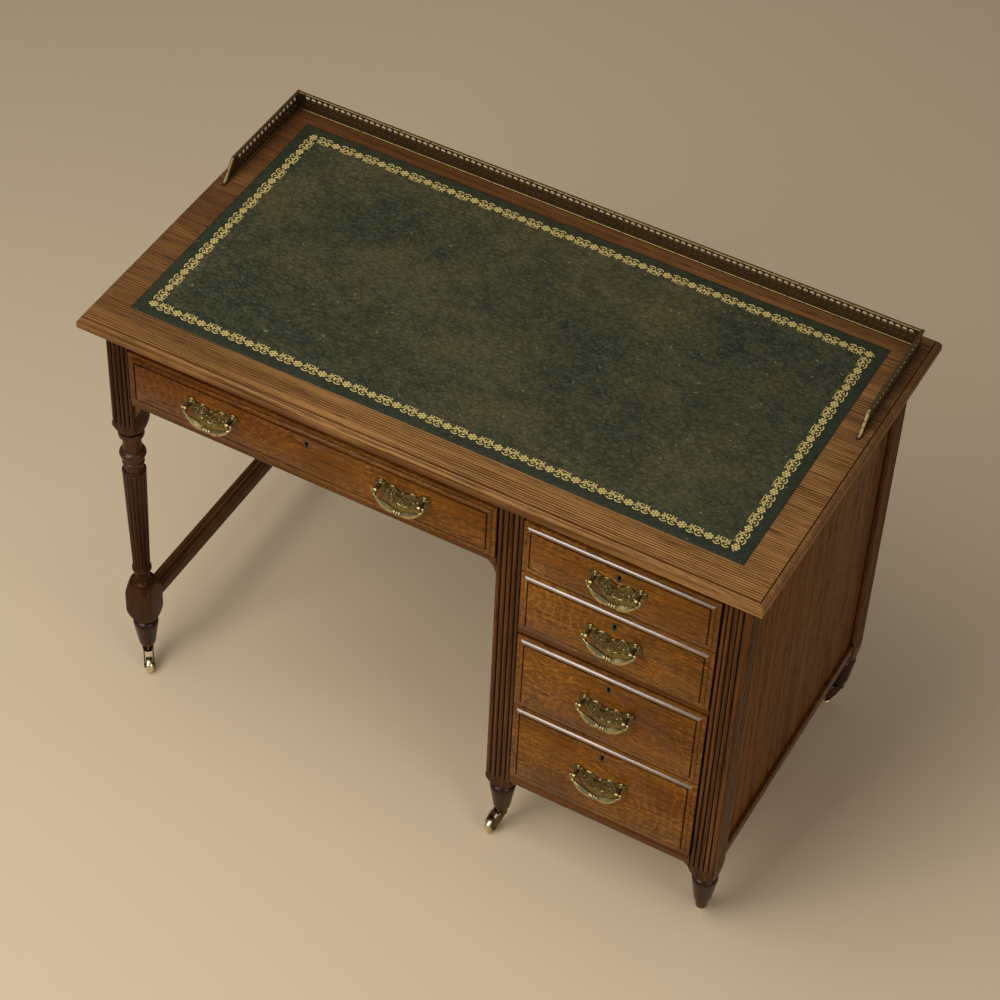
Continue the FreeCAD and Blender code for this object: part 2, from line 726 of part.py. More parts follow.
def pedestal_bottom_board():
    low = BOARD_TOP - BOTTOM_BOARD_THICKNESS
    return box(BAY_LEFT, BAY_RIGHT, FRONT_POST_BACK, BACK_POST_FRONT, low, BOARD_TOP)


def pedestal_bottom_rails():
    front = lipped_rail(INNER + POST, RIGHT - POST, PEDESTAL_FOOT, BOTTOM_RAIL_TOP, BOARD_TOP)
    inner_x = INNER + SIDE_RAIL_RECESS
    outer_x = RIGHT - SIDE_RAIL_RECESS - SIDE_RAIL_THICKNESS
    low = PEDESTAL_FOOT
    high = BOTTOM_RAIL_TOP
    board = BOARD_TOP - BOTTOM_BOARD_THICKNESS
    rails = [front]
    for x in (inner_x, outer_x):
        rail = box(x, x + SIDE_RAIL_THICKNESS, FRONT_POST_BACK, BACK_POST_FRONT, low, high)
        rails.append(rail.cut(box(BAY_LEFT, BAY_RIGHT, FRONT_POST_BACK, BACK_POST_FRONT, board, high)))
    back_y = BACK - SIDE_RAIL_RECESS
    rails.append(box(INNER + POST, RIGHT - POST, back_y - SIDE_RAIL_THICKNESS, back_y, low, high))
    return group(rails)


def runner_pair(left, left_end, right, right_end, low, high):
    return [
        box(left, left_end, FRONT_POST_BACK, BACK_POST_FRONT, low, high),
        box(right, right_end, FRONT_POST_BACK, BACK_POST_FRONT, low, high),
    ]


def runner_frames():
    post_left = INNER + POST
    post_right = RIGHT - POST
    left_end = post_left + RUNNER_BEARING
    right = post_right - RUNNER_BEARING
    levels = (
        (FRONTS_TOP - FIRST_DRAWER_HEIGHT, SECOND_TOP),
        (SECOND_TOP - SECOND_DRAWER_HEIGHT, THIRD_TOP),
        (THIRD_TOP - THIRD_DRAWER_HEIGHT, FOURTH_TOP),
    )
    solids = []
    for above, below in levels:
        low = opening_top(below)
        high = opening_bottom(above)
        rail = box(post_left, post_right, RAIL_FRONT, FRONT_POST_BACK, low, high)
        solids.append(rail.cut(bolt_pocket(PEDESTAL_MIDDLE, low)))
        solids += runner_pair(BAY_LEFT, left_end, right, BAY_RIGHT, low, high)
    solids.append(box(post_left, post_right, FRONT, RAIL_FRONT,
                      THIRD_TOP + FRONT_GAP, THIRD_TOP + FRONT_GAP + MIDDLE_RAIL_SHOW))
    end_x = LEFT + END_RECESS + END_THICKNESS
    solids += runner_pair(end_x, LEFT + POST + RUNNER_BEARING, INNER - RUNNER_BEARING, PANEL_INNER_LEFT,
                          KNEEHOLE_TOP, opening_bottom(FRIEZE_BOTTOM))
    return group(solids)


# Drawers

def front_half(half):
    edge = FRONT - FRONT_EDGE_PROUD
    spring = (half - FRONT_MARGIN, edge)
    crest = (half - FRONT_MARGIN - BEAD_WIDTH, FIELD + BEAD_SINK)
    return [
        (half, FRONT + FRONT_LIP_BACK),
        (half, edge),
        spring,
        arc_step(spring, crest, -BEAD_ROUND),
        (half - FRONT_MARGIN - BEAD_WIDTH, FIELD),
    ]


def oval(x, z, radius, straight):
    """Upright oval with round ends, centred at x, z."""
    up = z + straight / 2
    down = z - straight / 2
    return [(x - radius, down), (x, down - radius, x + radius, down),
            (x + radius, up), (x, up + radius, x - radius, up)]


def lining_blank(x, z):
    return prism(oval(x, z, LINING_RADIUS, LINING_STRAIGHT), "y", FIELD, FIELD + LINING_DEPTH)


def keyhole(x, z, y0, y1):
    high = z + LINING_STRAIGHT / 2
    slot = box(x - KEYHOLE_SLOT, x + KEYHOLE_SLOT, y0, y1, high - KEYHOLE_DROP, high)
    return slot.fuse(Part.makeCylinder(KEYHOLE_RADIUS, y1 - y0, Vector(x, y0, high), AXES["y"]))


def lock_box(x, top):
    """Room of a lock case in the back of a front."""
    back = FRONT + FRONT_BACK
    low = top - KEY_DROP - LOCK_BELOW_KEY
    return box(x - LOCK_WIDTH / 2, x + LOCK_WIDTH / 2, back - LOCK_THICKNESS, back, low, top - FRONT_LIP)


def drawer_front(x0, x1, bottom, top):
    """Moulded front: margin, ovolo and quirk round the field, and a smaller back inside the opening."""
    middle_x = (x0 + x1) / 2
    middle_z = (bottom + top) / 2
    half_x = (x1 - x0) / 2
    half_z = (top - bottom) / 2
    across = prism(swapped(symmetric(front_half(half_z))), "x", -half_x, half_x)
    upright = prism(symmetric(front_half(half_x)), "z", -half_z, half_z)
    front = across.common(upright)
    outer_x = half_x - FRONT_MARGIN - BEAD_WIDTH
    outer_z = half_z - FRONT_MARGIN - BEAD_WIDTH
    quirk = box(-outer_x, outer_x, FIELD, FIELD + QUIRK_DEPTH, -outer_z, outer_z)
    inner_x = outer_x - QUIRK_WIDTH
    inner_z = outer_z - QUIRK_WIDTH
    quirk = quirk.cut(box(-inner_x, inner_x, FIELD, FIELD + QUIRK_DEPTH, -inner_z, inner_z))
    front = front.cut(quirk)
    front.translate(Vector(middle_x, 0, middle_z))
    back = FRONT + FRONT_BACK
    front = front.fuse(box(x0, x1, FRONT + FRONT_LIP_BACK, back, bottom + FRONT_LIP, top - FRONT_LIP))
    key = keyhole(middle_x, top - KEY_DROP, FIELD, back)
    return front.cut([lining_blank(middle_x, top - KEY_DROP), key, lock_box(middle_x, top)])


def drawer_box(x0, x1, bottom, top):
    """Two sides, a back and a bottom."""
    low = bottom + FRONT_LIP
    high = top - FRONT_LIP
    front = FRONT + FRONT_BACK
    rear = BACK_POST_FRONT - DRAWER_REAR_ROOM
    inner0 = x0 + DRAWER_SIDE
    inner1 = x1 - DRAWER_SIDE
    floor = low + DRAWER_BOTTOM_RISE
    return group([
        box(x0, inner0, front, rear, low, high),
        box(inner1, x1, front, rear, low, high),
        box(inner0, inner1, rear - DRAWER_BACK, rear, floor, high - DRAWER_BACK_DROP),
        box(inner0, inner1, front, rear - DRAWER_BACK, floor, floor + DRAWER_BOTTOM),
    ])


def plate_half():
    hump = (PLATE_HUMP_HALF - PLATE_HUMP_WIDTH / 2, PLATE_HUMP_RISE)
    hump_end = (PLATE_HUMP_HALF + PLATE_HUMP_WIDTH / 2, PLATE_HUMP_RISE)
    foot = (0, -PLATE_BOTTOM)
    shoulder = (PLATE_SHOULDER_HALF, -PLATE_SHOULDER_DROP)
    return [
        foot,
        arc_step(foot, shoulder, PLATE_BOTTOM_ROUND),
        (PLATE_SHOULDER_HALF, PIVOT_RISE),
        hump_end,
        arc_step(hump_end, hump, PLATE_HUMP_ROUND),
        (0, PLATE_NOTCH_RISE),
    ]


def handle_plate(x, z):
    """Back plate with two humps, a rosette at each end and a stem with an eye for the bail."""
    seat = FIELD - PLATE_THICKNESS
    plate = prism(symmetric(plate_half()), "y", seat, FIELD)
    plate.translate(Vector(x, 0, z))
    pieces = []
    holes = []
    pivot_z = z + PIVOT_RISE
    dome = (ROSETTE_RADIUS - ROSETTE_RIM, PLATE_THICKNESS + ROSETTE_RIM)
    crown = (STEM_RADIUS, PLATE_THICKNESS + ROSETTE_DOME)
    stem = PLATE_THICKNESS + BAIL_STANDOFF
    rosette = [(0, 0), (ROSETTE_RADIUS, 0), (ROSETTE_RADIUS, PLATE_THICKNESS), dome]
    rosette += [arc_step(dome, crown, ROSETTE_RIM / 2), (STEM_RADIUS, stem), (0, stem)]
    bore = BAIL_PIN_RADIUS + BAIL_PIN_FIT
    for side in (-1, 1):
        eye_x = x + side * PIVOT_HALF_SPAN
        pieces.append(revolve(rosette, Vector(eye_x, FIELD, pivot_z), Vector(0, -1, 0), AXES["x"]))
        eye_start = Vector(eye_x - EYE_HALF_WIDTH, BAIL_Y, pivot_z)
        pieces.append(Part.makeCylinder(EYE_RADIUS, 2 * EYE_HALF_WIDTH, eye_start, AXES["x"]))
        holes.append(Part.makeCylinder(bore, 2 * EYE_HALF_WIDTH, eye_start, AXES["x"]))
    return plate.fuse(pieces).cut(holes)


def lock_case(x, top):
    back = FRONT + FRONT_BACK
    case = lock_box(x, top)
    half = BOLT_WIDTH / 2 + BOLT_FIT
    y = back - LOCK_THICKNESS / 2
    deep = BOLT_THICKNESS / 2 + BOLT_FIT
    high = top - FRONT_LIP
    slot = box(x - half, x + half, y - deep, y + deep, high - BOLT_HEIGHT - 2 * BOLT_FIT, high)
    return case.cut(slot)


def lock_bolt(x, top):
    half = BOLT_WIDTH / 2
    y = FRONT + FRONT_BACK - LOCK_THICKNESS / 2
    high = top - FRONT_LIP - BOLT_FIT
    return box(x - half, x + half, y - BOLT_THICKNESS / 2, y + BOLT_THICKNESS / 2, high - BOLT_HEIGHT, high)


def key_lining(x, top):
    z = top - KEY_DROP
    return lining_blank(x, z).cut(keyhole(x, z, FIELD, FIELD + LINING_DEPTH))


def bail(x, z):
    """Bowed bail of three tangent arcs with inward pins and a ringed knop."""
    pivot_z = z + PIVOT_RISE
    corner_x = BAIL_HALF_SPAN - BAIL_CORNER_RADIUS
    below = BAIL_DROP - BAIL_CORNER_RADIUS
    bow = (corner_x ** 2 + BAIL_DROP ** 2 - BAIL_CORNER_RADIUS ** 2) / (2 * below)
    bow_z = bow - BAIL_DROP
    tilt = math.atan2(-bow_z, corner_x)
    meet = (bow * math.cos(tilt), bow_z + bow * math.sin(tilt))
    corner_middle_x = corner_x + BAIL_CORNER_RADIUS * math.cos(tilt / 2)
    corner_middle_z = BAIL_CORNER_RADIUS * math.sin(tilt / 2)

    def at(a, b):
        return Vector(x + a, BAIL_Y, pivot_z + b)

    def corner(side):
        return Part.Arc(at(side * BAIL_HALF_SPAN, 0), at(side * corner_middle_x, corner_middle_z),
                        at(side * meet[0], meet[1])).toShape()

    middle = Part.Arc(at(meet[0], meet[1]), at(0, -BAIL_DROP), at(-meet[0], meet[1])).toShape()
    section = Part.Wire(Part.makeCircle(BAIL_RADIUS, at(BAIL_HALF_SPAN, 0), AXES["z"]))
    bow_wire = Part.Wire([corner(1), middle, corner(-1)])
    pieces = []
    for side in (-1, 1):
        pieces.append(Part.makeSphere(BAIL_KNUCKLE_RADIUS, at(side * BAIL_HALF_SPAN, 0)))
        pin_end = PIVOT_HALF_SPAN - EYE_HALF_WIDTH
        pin_start = at(min(side * pin_end, side * BAIL_HALF_SPAN), 0)
        pieces.append(Part.makeCylinder(BAIL_PIN_RADIUS, BAIL_HALF_SPAN - pin_end, pin_start, AXES["x"]))
    knop = [(0, -KNOP_HALF_LENGTH), (BAIL_RADIUS, -KNOP_HALF_LENGTH)]
    ring = 2 * KNOP_HALF_LENGTH / KNOP_RINGS
    for index in range(KNOP_RINGS):
        start = index * ring - KNOP_HALF_LENGTH
        crest = KNOP_RADIUS if index == KNOP_RINGS // 2 else KNOP_RING_RADIUS
        knop.append((crest, start + ring / 2, BAIL_RADIUS, start + ring))
    knop.append((0, KNOP_HALF_LENGTH))
    pieces.append(revolve(knop, at(0, -BAIL_DROP), AXES["x"], AXES["z"]))
    return bow_wire.makePipeShell([section], True, False).fuse(pieces)


def make_drawer(name, x0, x1, bottom, top, handles):
    """Nodes of one drawer: front, box, fittings, lock bolt and bails."""
    left = x0 + SIDE_GAP
    right = x1 - SIDE_GAP
    middle = (left + right) / 2
    handle_z = (bottom + top) / 2 + HANDLE_RISE
    fittings = [key_lining(middle, top), lock_case(middle, top)]
    nodes = {}
    for bail_name, offset in handles:
        fittings.append(handle_plate(middle + offset, handle_z))
        nodes[bail_name] = bail(middle + offset, handle_z)
    nodes[name + "_front"] = drawer_front(left, right, bottom, top)
    nodes[name + "_box"] = drawer_box(left, right, bottom, top)
    nodes[name + "_fittings"] = group(fittings)
    nodes[name + "_bolt"] = lock_bolt(middle, top)
    return nodes


def all_drawers():
    pair = (("frieze_left_bail", -HANDLE_HALF_SPACING), ("frieze_right_bail", HANDLE_HALF_SPACING))
    nodes = make_drawer("frieze_drawer", LEFT + POST, INNER, FRIEZE_BOTTOM, FRONTS_TOP, pair)
    stack = (
        (FRONTS_TOP, FIRST_DRAWER_HEIGHT),
        (SECOND_TOP, SECOND_DRAWER_HEIGHT),
        (THIRD_TOP, THIRD_DRAWER_HEIGHT),
        (FOURTH_TOP, FOURTH_DRAWER_HEIGHT),
    )
    for number, (top, height) in enumerate(stack, 1):
        name = "drawer_%d" % number
        single = ((name + "_bail", 0),)
        nodes.update(make_drawer(name, INNER + POST, RIGHT - POST, top - height, top, single))
    return nodes


# Castors

HUB_TOP = CASTOR_HEIGHT - CASTOR_PLATE_THICKNESS - CASTOR_CLEARANCE
HUB_BOTTOM = HUB_TOP - HUB_HEIGHT


def castor_socket(x, y):
    """Plate under the toe with the pintle that carries the horn."""
    plate_low = CASTOR_HEIGHT - CASTOR_PLATE_THICKNESS
    head_high = HUB_BOTTOM - CASTOR_CLEARANCE
    head_low = head_high - PINTLE_HEAD_THICKNESS
    steps = [(0, CASTOR_HEIGHT), (CASTOR_PLATE_RADIUS, CASTOR_HEIGHT), (CASTOR_PLATE_RADIUS, plate_low),
             (PINTLE_RADIUS, plate_low), (PINTLE_RADIUS, head_high), (PINTLE_HEAD_RADIUS, head_high),
             (PINTLE_HEAD_RADIUS, head_low), (0, head_low)]
    return turned(steps, x, y)


def arm_steps():
    """Side view of a horn arm, from the hub round the axle."""
    tip = (CASTOR_TRAIL + ARM_END_RADIUS, WHEEL_RADIUS)
    heel = (CASTOR_TRAIL - ARM_END_RADIUS, WHEEL_RADIUS)
    crown = HUB_BOTTOM + ARM_RISE
    shoulder = (HUB_RADIUS, crown)
    back = (0, HUB_BOTTOM)
    toe = (CASTOR_TRAIL, WHEEL_RADIUS - ARM_END_RADIUS, *tip)
    return [(0, crown), back, arc_step(back, heel, ARM_BOW / 2), toe, arc_step(tip, shoulder, ARM_BOW)]


def castor_horn():
    """Swivelling horn trailing along +X, and its axle pin."""
    hub = Part.makeCylinder(HUB_RADIUS, HUB_HEIGHT, Vector(0, 0, HUB_BOTTOM))
    inner = WHEEL_WIDTH / 2 + WHEEL_GAP
    outer = inner + ARM_THICKNESS
    arms = [prism(arm_steps(), "y", low, high) for low, high in ((-outer, -inner), (inner, outer))]
    swivel = Part.makeCylinder(PINTLE_RADIUS + PINTLE_FIT, HUB_HEIGHT, Vector(0, 0, HUB_BOTTOM))
    reach = outer + AXLE_OVERHANG
    start = Vector(CASTOR_TRAIL, -reach, WHEEL_RADIUS)
    seat = Part.makeCylinder(AXLE_RADIUS + AXLE_SEAT, 2 * reach, start, AXES["y"])
    axle = Part.makeCylinder(AXLE_RADIUS, 2 * reach, start, AXES["y"])
    return group([hub.fuse(arms).cut([swivel, seat]), axle])


def castor_wheel():
    half = WHEEL_WIDTH / 2
    bore = AXLE_RADIUS + AXLE_FIT
    rim = WHEEL_RADIUS - WHEEL_CROWN
    steps = [(bore, -half), (rim, -half), (WHEEL_RADIUS, 0, rim, half), (bore, half)]
    return revolve(steps, Vector(CASTOR_TRAIL, 0, WHEEL_RADIUS), AXES["y"], AXES["x"])


def stands():
    """Name, corner, reeded faces and castor trail of each leg and post."""
    outer = RIGHT - POST
    return (
        ("left_front", LEFT, FRONT, ("front", "left"), LEFT_FRONT_TRAIL),
        ("left_back", LEFT, BACK_POST_FRONT, ("back", "left"), LEFT_BACK_TRAIL),
        ("inner_front", INNER, FRONT, ("front",), INNER_FRONT_TRAIL),
        ("inner_back", INNER, BACK_POST_FRONT, ("back",), INNER_BACK_TRAIL),
        ("outer_front", outer, FRONT, ("front", "right"), OUTER_FRONT_TRAIL),
        ("outer_back", outer, BACK_POST_FRONT, ("back", "right"), OUTER_BACK_TRAIL),
    )


def all_stands():
    nodes = {}
    sockets = []
    for name, x0, y0, reeded, trail in stands():
        centre = Vector(x0 + POST / 2, y0 + POST / 2, 0)
        if name.startswith("left"):
            nodes[name + "_leg"] = left_leg(x0, y0, reeded)
        else:
            nodes[name + "_post"] = pedestal_post(x0, y0, reeded)
        sockets.append(castor_socket(centre.x, centre.y))
        for piece, shape in (("horn", castor_horn()), ("wheel", castor_wheel())):
            shape.rotate(Vector(0, 0, 0), AXES["z"], trail)
            shape.translate(centre)
            nodes["%s_castor_%s" % (name, piece)] = shape
    nodes["castor_sockets"] = group(sockets)
    return nodes


def main():
    nodes = {
        "top_board": top_board(),
        "leather_panel": leather_panel(),
        "gallery": gallery(),
        "leg_stretcher": leg_stretcher(),
        "left_end_panel": left_end_panel(),
        "frieze_back_panel": frieze_back_panel(),
        "kneehole_rail": kneehole_rail(),
        "top_front_rails": top_front_rails(),
        "corner_brackets": corner_brackets(),
        "outer_side_panel": side_panel(PANEL_OUTER_LEFT),
        "inner_side_panel": side_panel(PANEL_INNER_LEFT),
        "pedestal_back_panel": pedestal_back_panel(),
        "pedestal_bottom_board": pedestal_bottom_board(),
        "pedestal_bottom_rails": pedestal_bottom_rails(),
        "runner_frames": runner_frames(),
    }
    nodes.update(all_stands())
    nodes.update(all_drawers())
    os.makedirs("parts", exist_ok=True)
    for name, shape in nodes.items():
        shape.exportStep("parts/%s.step" % name)


main()
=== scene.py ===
import json
from math import asin, atan2, cos, exp, hypot, pi, radians, sin, sqrt

import bmesh
import bpy
from mathutils import Matrix, Vector, noise

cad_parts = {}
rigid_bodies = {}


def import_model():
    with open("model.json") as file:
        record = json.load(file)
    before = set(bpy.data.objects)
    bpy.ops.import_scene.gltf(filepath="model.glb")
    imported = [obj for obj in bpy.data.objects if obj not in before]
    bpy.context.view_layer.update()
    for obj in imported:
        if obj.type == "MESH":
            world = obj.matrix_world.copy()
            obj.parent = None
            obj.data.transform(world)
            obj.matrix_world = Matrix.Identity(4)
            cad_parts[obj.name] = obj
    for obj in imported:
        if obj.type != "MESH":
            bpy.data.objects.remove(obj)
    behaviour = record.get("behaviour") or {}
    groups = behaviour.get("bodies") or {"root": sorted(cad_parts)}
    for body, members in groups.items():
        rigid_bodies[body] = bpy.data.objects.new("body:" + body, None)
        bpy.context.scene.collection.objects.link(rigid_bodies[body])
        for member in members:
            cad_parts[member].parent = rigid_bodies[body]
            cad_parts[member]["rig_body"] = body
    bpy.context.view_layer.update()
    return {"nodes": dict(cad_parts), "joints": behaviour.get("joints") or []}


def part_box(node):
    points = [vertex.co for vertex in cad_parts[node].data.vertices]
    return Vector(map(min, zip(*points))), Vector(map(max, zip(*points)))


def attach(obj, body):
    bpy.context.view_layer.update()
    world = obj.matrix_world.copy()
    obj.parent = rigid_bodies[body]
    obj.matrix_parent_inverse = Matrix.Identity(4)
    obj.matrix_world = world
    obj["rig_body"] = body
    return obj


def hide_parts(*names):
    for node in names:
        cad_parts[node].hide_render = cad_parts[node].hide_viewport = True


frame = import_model()
NODES = frame["nodes"]

# Millimetres in metres, directions, and places and names taken from the frame
MM = 0.001
RIGHT = Vector((1, 0, 0))
INWARD = Vector((0, 1, 0))
FORWARD = Vector((0, -1, 0))
UP = Vector((0, 0, 1))
TOP_LOW, TOP_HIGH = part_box("top_board")
LEATHER_LOW, LEATHER_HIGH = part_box("leather_panel")
GALLERY_LOW, GALLERY_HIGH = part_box("gallery")
FIELD_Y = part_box("frieze_drawer_front")[0].y
RAIL_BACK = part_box("kneehole_rail")[1].y
JOINTS = {joint["name"]: joint for joint in frame["joints"]}
PEDESTAL_DRAWERS = ("drawer_1", "drawer_2", "drawer_3", "drawer_4")
DRAWERS = ("frieze_drawer",) + PEDESTAL_DRAWERS
HANDLES = {"frieze_left": "frieze_drawer", "frieze_right": "frieze_drawer"}
HANDLES.update({drawer: drawer for drawer in PEDESTAL_DRAWERS})
STANDS = ("left_front", "left_back", "inner_front", "inner_back", "outer_front", "outer_back")

# Camera at the photograph's viewing angle
CAMERA_AZIMUTH = radians(26.92)
CAMERA_ELEVATION = radians(46.20)
CAMERA_ROLL = radians(2.89)
CAMERA_DISTANCE = 4.36528
CAMERA_TARGET = Vector((0.00697, -0.0212, 0.43168))
CAMERA_LENS = 106.32


def join(thing):
    bpy.context.scene.collection.objects.link(thing)


def add_camera():
    flat = cos(CAMERA_ELEVATION)
    back = Vector((
        sin(CAMERA_AZIMUTH) * flat,
        -cos(CAMERA_AZIMUTH) * flat,
        sin(CAMERA_ELEVATION),
    ))
    level = Vector((cos(CAMERA_AZIMUTH), sin(CAMERA_AZIMUTH), 0))
    upright = back.cross(level)
    right = cos(CAMERA_ROLL) * level + sin(CAMERA_ROLL) * upright
    up = cos(CAMERA_ROLL) * upright - sin(CAMERA_ROLL) * level
    camera = bpy.data.objects.new("camera", bpy.data.cameras.new("camera"))
    camera.data.lens = CAMERA_LENS
    turn = Matrix((right, up, back)).transposed().to_4x4()
    camera.matrix_world = Matrix.Translation(CAMERA_TARGET + back * CAMERA_DISTANCE) @ turn
    join(camera)
    bpy.context.scene.camera = camera


# Light and floor: name, place, width, depth and power of each lamp
LAMPS = (
    ("overhead", (-0.75, -0.7, 3.1), 1.6, 2.4, 34.0),
    ("key", (-0.75, -2.4, 2.2), 1.7, 2.3, 52.0),
    ("fill", (2.9, -1.6, 1.7), 1.8, 1.8, 24.0),
)
WHITE = (1.0, 1.0, 1.0, 1.0)
WORLD_LIGHT = 0.22
FLOOR_HALF = 12.0
FLOOR_COLOUR = (0.64, 0.50, 0.32, 1.0)
FLOOR_ROUGHNESS = 0.9


def add_lamp(name, place, width, depth, power):
    lamp = bpy.data.lights.new(name, "AREA")
    lamp.energy = power
    lamp.shape = "RECTANGLE"
    lamp.size = width
    lamp.size_y = depth
    holder = bpy.data.objects.new(name, lamp)
    aim = CAMERA_TARGET - Vector(place)
    holder.matrix_world = Matrix.Translation(place) @ aim.to_track_quat("-Z", "Y").to_matrix().to_4x4()
    join(holder)


def add_world():
    world = bpy.data.worlds.new("studio")
    world.use_nodes = True
    background = world.node_tree.nodes["Background"]
    background.inputs["Color"].default_value = WHITE
    background.inputs["Strength"].default_value = WORLD_LIGHT
    bpy.context.scene.world = world


def add_floor():
    build = bmesh.new()
    corners = ((-1, -1), (1, -1), (1, 1), (-1, 1))
    build.faces.new([build.verts.new((x * FLOOR_HALF, y * FLOOR_HALF, 0)) for x, y in corners])
    mesh = mesh_of("floor", build)
    paint = Paint("pale_floor")
    paint.set({"Base Color": FLOOR_COLOUR, "Roughness": FLOOR_ROUGHNESS})
    mesh.materials.append(paint.material)
    floor = bpy.data.objects.new("floor", mesh)
    join(floor)


# Material nodes

class Paint:
    """Node tree of one material, with short calls for the nodes that it uses."""

    def __init__(self, name):
        self.material = bpy.data.materials.new(name)
        self.material.use_nodes = True
        self.tree = self.material.node_tree
        self.shader = self.tree.nodes["Principled BSDF"]
        self.place = self.add("TexCoord").outputs["Object"]

    def put(self, socket, value):
        if isinstance(value, bpy.types.NodeSocket):
            self.tree.links.new(value, socket)
        else:
            socket.default_value = value

    def add(self, kind, values=(), **settings):
        node = self.tree.nodes.new("ShaderNode" + kind)
        for name, value in settings.items():
            setattr(node, name, value)
        for key, value in dict(values).items():
            self.put(node.inputs[key], value)
        return node

    def set(self, values):
        for key, value in values.items():
            self.put(self.shader.inputs[key], value)

    def mapped(self, vector, scale):
        """Coordinates times one scale, or one for each axis."""
        scales = scale if isinstance(scale, tuple) else (scale,) * 3
        return self.add("Mapping", {"Vector": vector, "Scale": scales}).outputs["Vector"]

    def noise(self, scale, detail=2.0, roughness=0.5, vector=None):
        """Noise over the part, or over other coordinates."""
        place = self.place if vector is None else vector
        if isinstance(scale, tuple):
            place = self.mapped(place, scale)
            scale = 1.0
        values = {"Vector": place, "Scale": scale, "Detail": detail, "Roughness": roughness}
        return self.add("TexNoise", values).outputs["Fac"]

    def patches(self, scale, low, high, detail=2.0, roughness=0.5):
        """Noise over the part as soft patches."""
        return self.band(self.noise(scale, detail, roughness), low, high)

    def warped(self, vector, scale, amount):
        """Coordinates pushed about by a coarse noise."""
        values = {"Vector": self.mapped(vector, scale), "Scale": 1.0, "Detail": 1.0}
        push = self.add("TexNoise", values).outputs["Color"]
        centred = self.add("VectorMath", {0: push, 1: (0.5, 0.5, 0.5)}, operation="SUBTRACT").outputs[0]
        values = {0: centred, 1: (amount, amount, amount), 2: vector}
        return self.add("VectorMath", values, operation="MULTIPLY_ADD").outputs[0]

    def ramp(self, value, low, high, curve="LINEAR"):
        """Slope from 0 at low to 1 at high."""
        values = {"Value": value, "From Min": low, "From Max": high}
        return self.add("MapRange", values, interpolation_type=curve).outputs["Result"]

    def band(self, value, low, high):
        return self.ramp(value, low, high, "SMOOTHSTEP")

    def spread(self, value, low, high):
        """Value from 0 to 1 laid out from low to high."""
        return self.add("MapRange", {"Value": value, "To Min": low, "To Max": high}).outputs["Result"]

    def math(self, operation, a, b=0.0):
        return self.add("Math", {0: a, 1: b}, operation=operation).outputs[0]

    def plus(self, a, b):
        return self.math("ADD", a, b)

    def minus(self, a, b):
        return self.math("SUBTRACT", a, b)

    def times(self, a, b):
        return self.math("MULTIPLY", a, b)

    def mix(self, share, a, b, blend="MIX"):
        node = self.add("Mix", data_type="RGBA", blend_type=blend)
        for index, value in ((0, share), (6, a), (7, b)):
            self.put(node.inputs[index], value)
        return node.outputs[2]

    def tint(self, base, mask, share, tone):
        """Base taken towards a tone by a share of the mask."""
        return self.mix(self.times(mask, share), base, tone)

    def darken(self, base, shade):
        return self.mix(1.0, base, shade, "MULTIPLY")

    def hollow(self, reach, low, high):
        """1 in crevices and 0 on open faces."""
        node = self.add("AmbientOcclusion", {"Distance": reach}, samples=6)
        return self.band(self.minus(1.0, node.outputs["AO"]), low, high)

    def part(self, axis):
        return self.add("SeparateXYZ", {"Vector": self.place}).outputs[axis]

    def waves(self, axis, pitch, drift, amount):
        """Sine along an axis, shifted by an amount of drift."""
        phase = self.times(self.part(axis), 2 * pi / pitch)
        return self.math("SINE", self.plus(phase, self.times(drift, amount)))

    def bump(self, height, distance, strength):
        values = {"Height": height, "Distance": distance, "Strength": strength}
        self.put(self.shader.inputs["Normal"], self.add("Bump", values).outputs["Normal"])


def colour(red, green, blue):
    """Linear colour of display values from 0 to 255."""
    linear = [((v / 255 + 0.055) / 1.055) ** 2.4 for v in (red, green, blue)]
    return (*linear, 1.0)


def along(axis, lengthwise, crosswise):
    return tuple(lengthwise if name == axis else crosswise for name in "xyz")


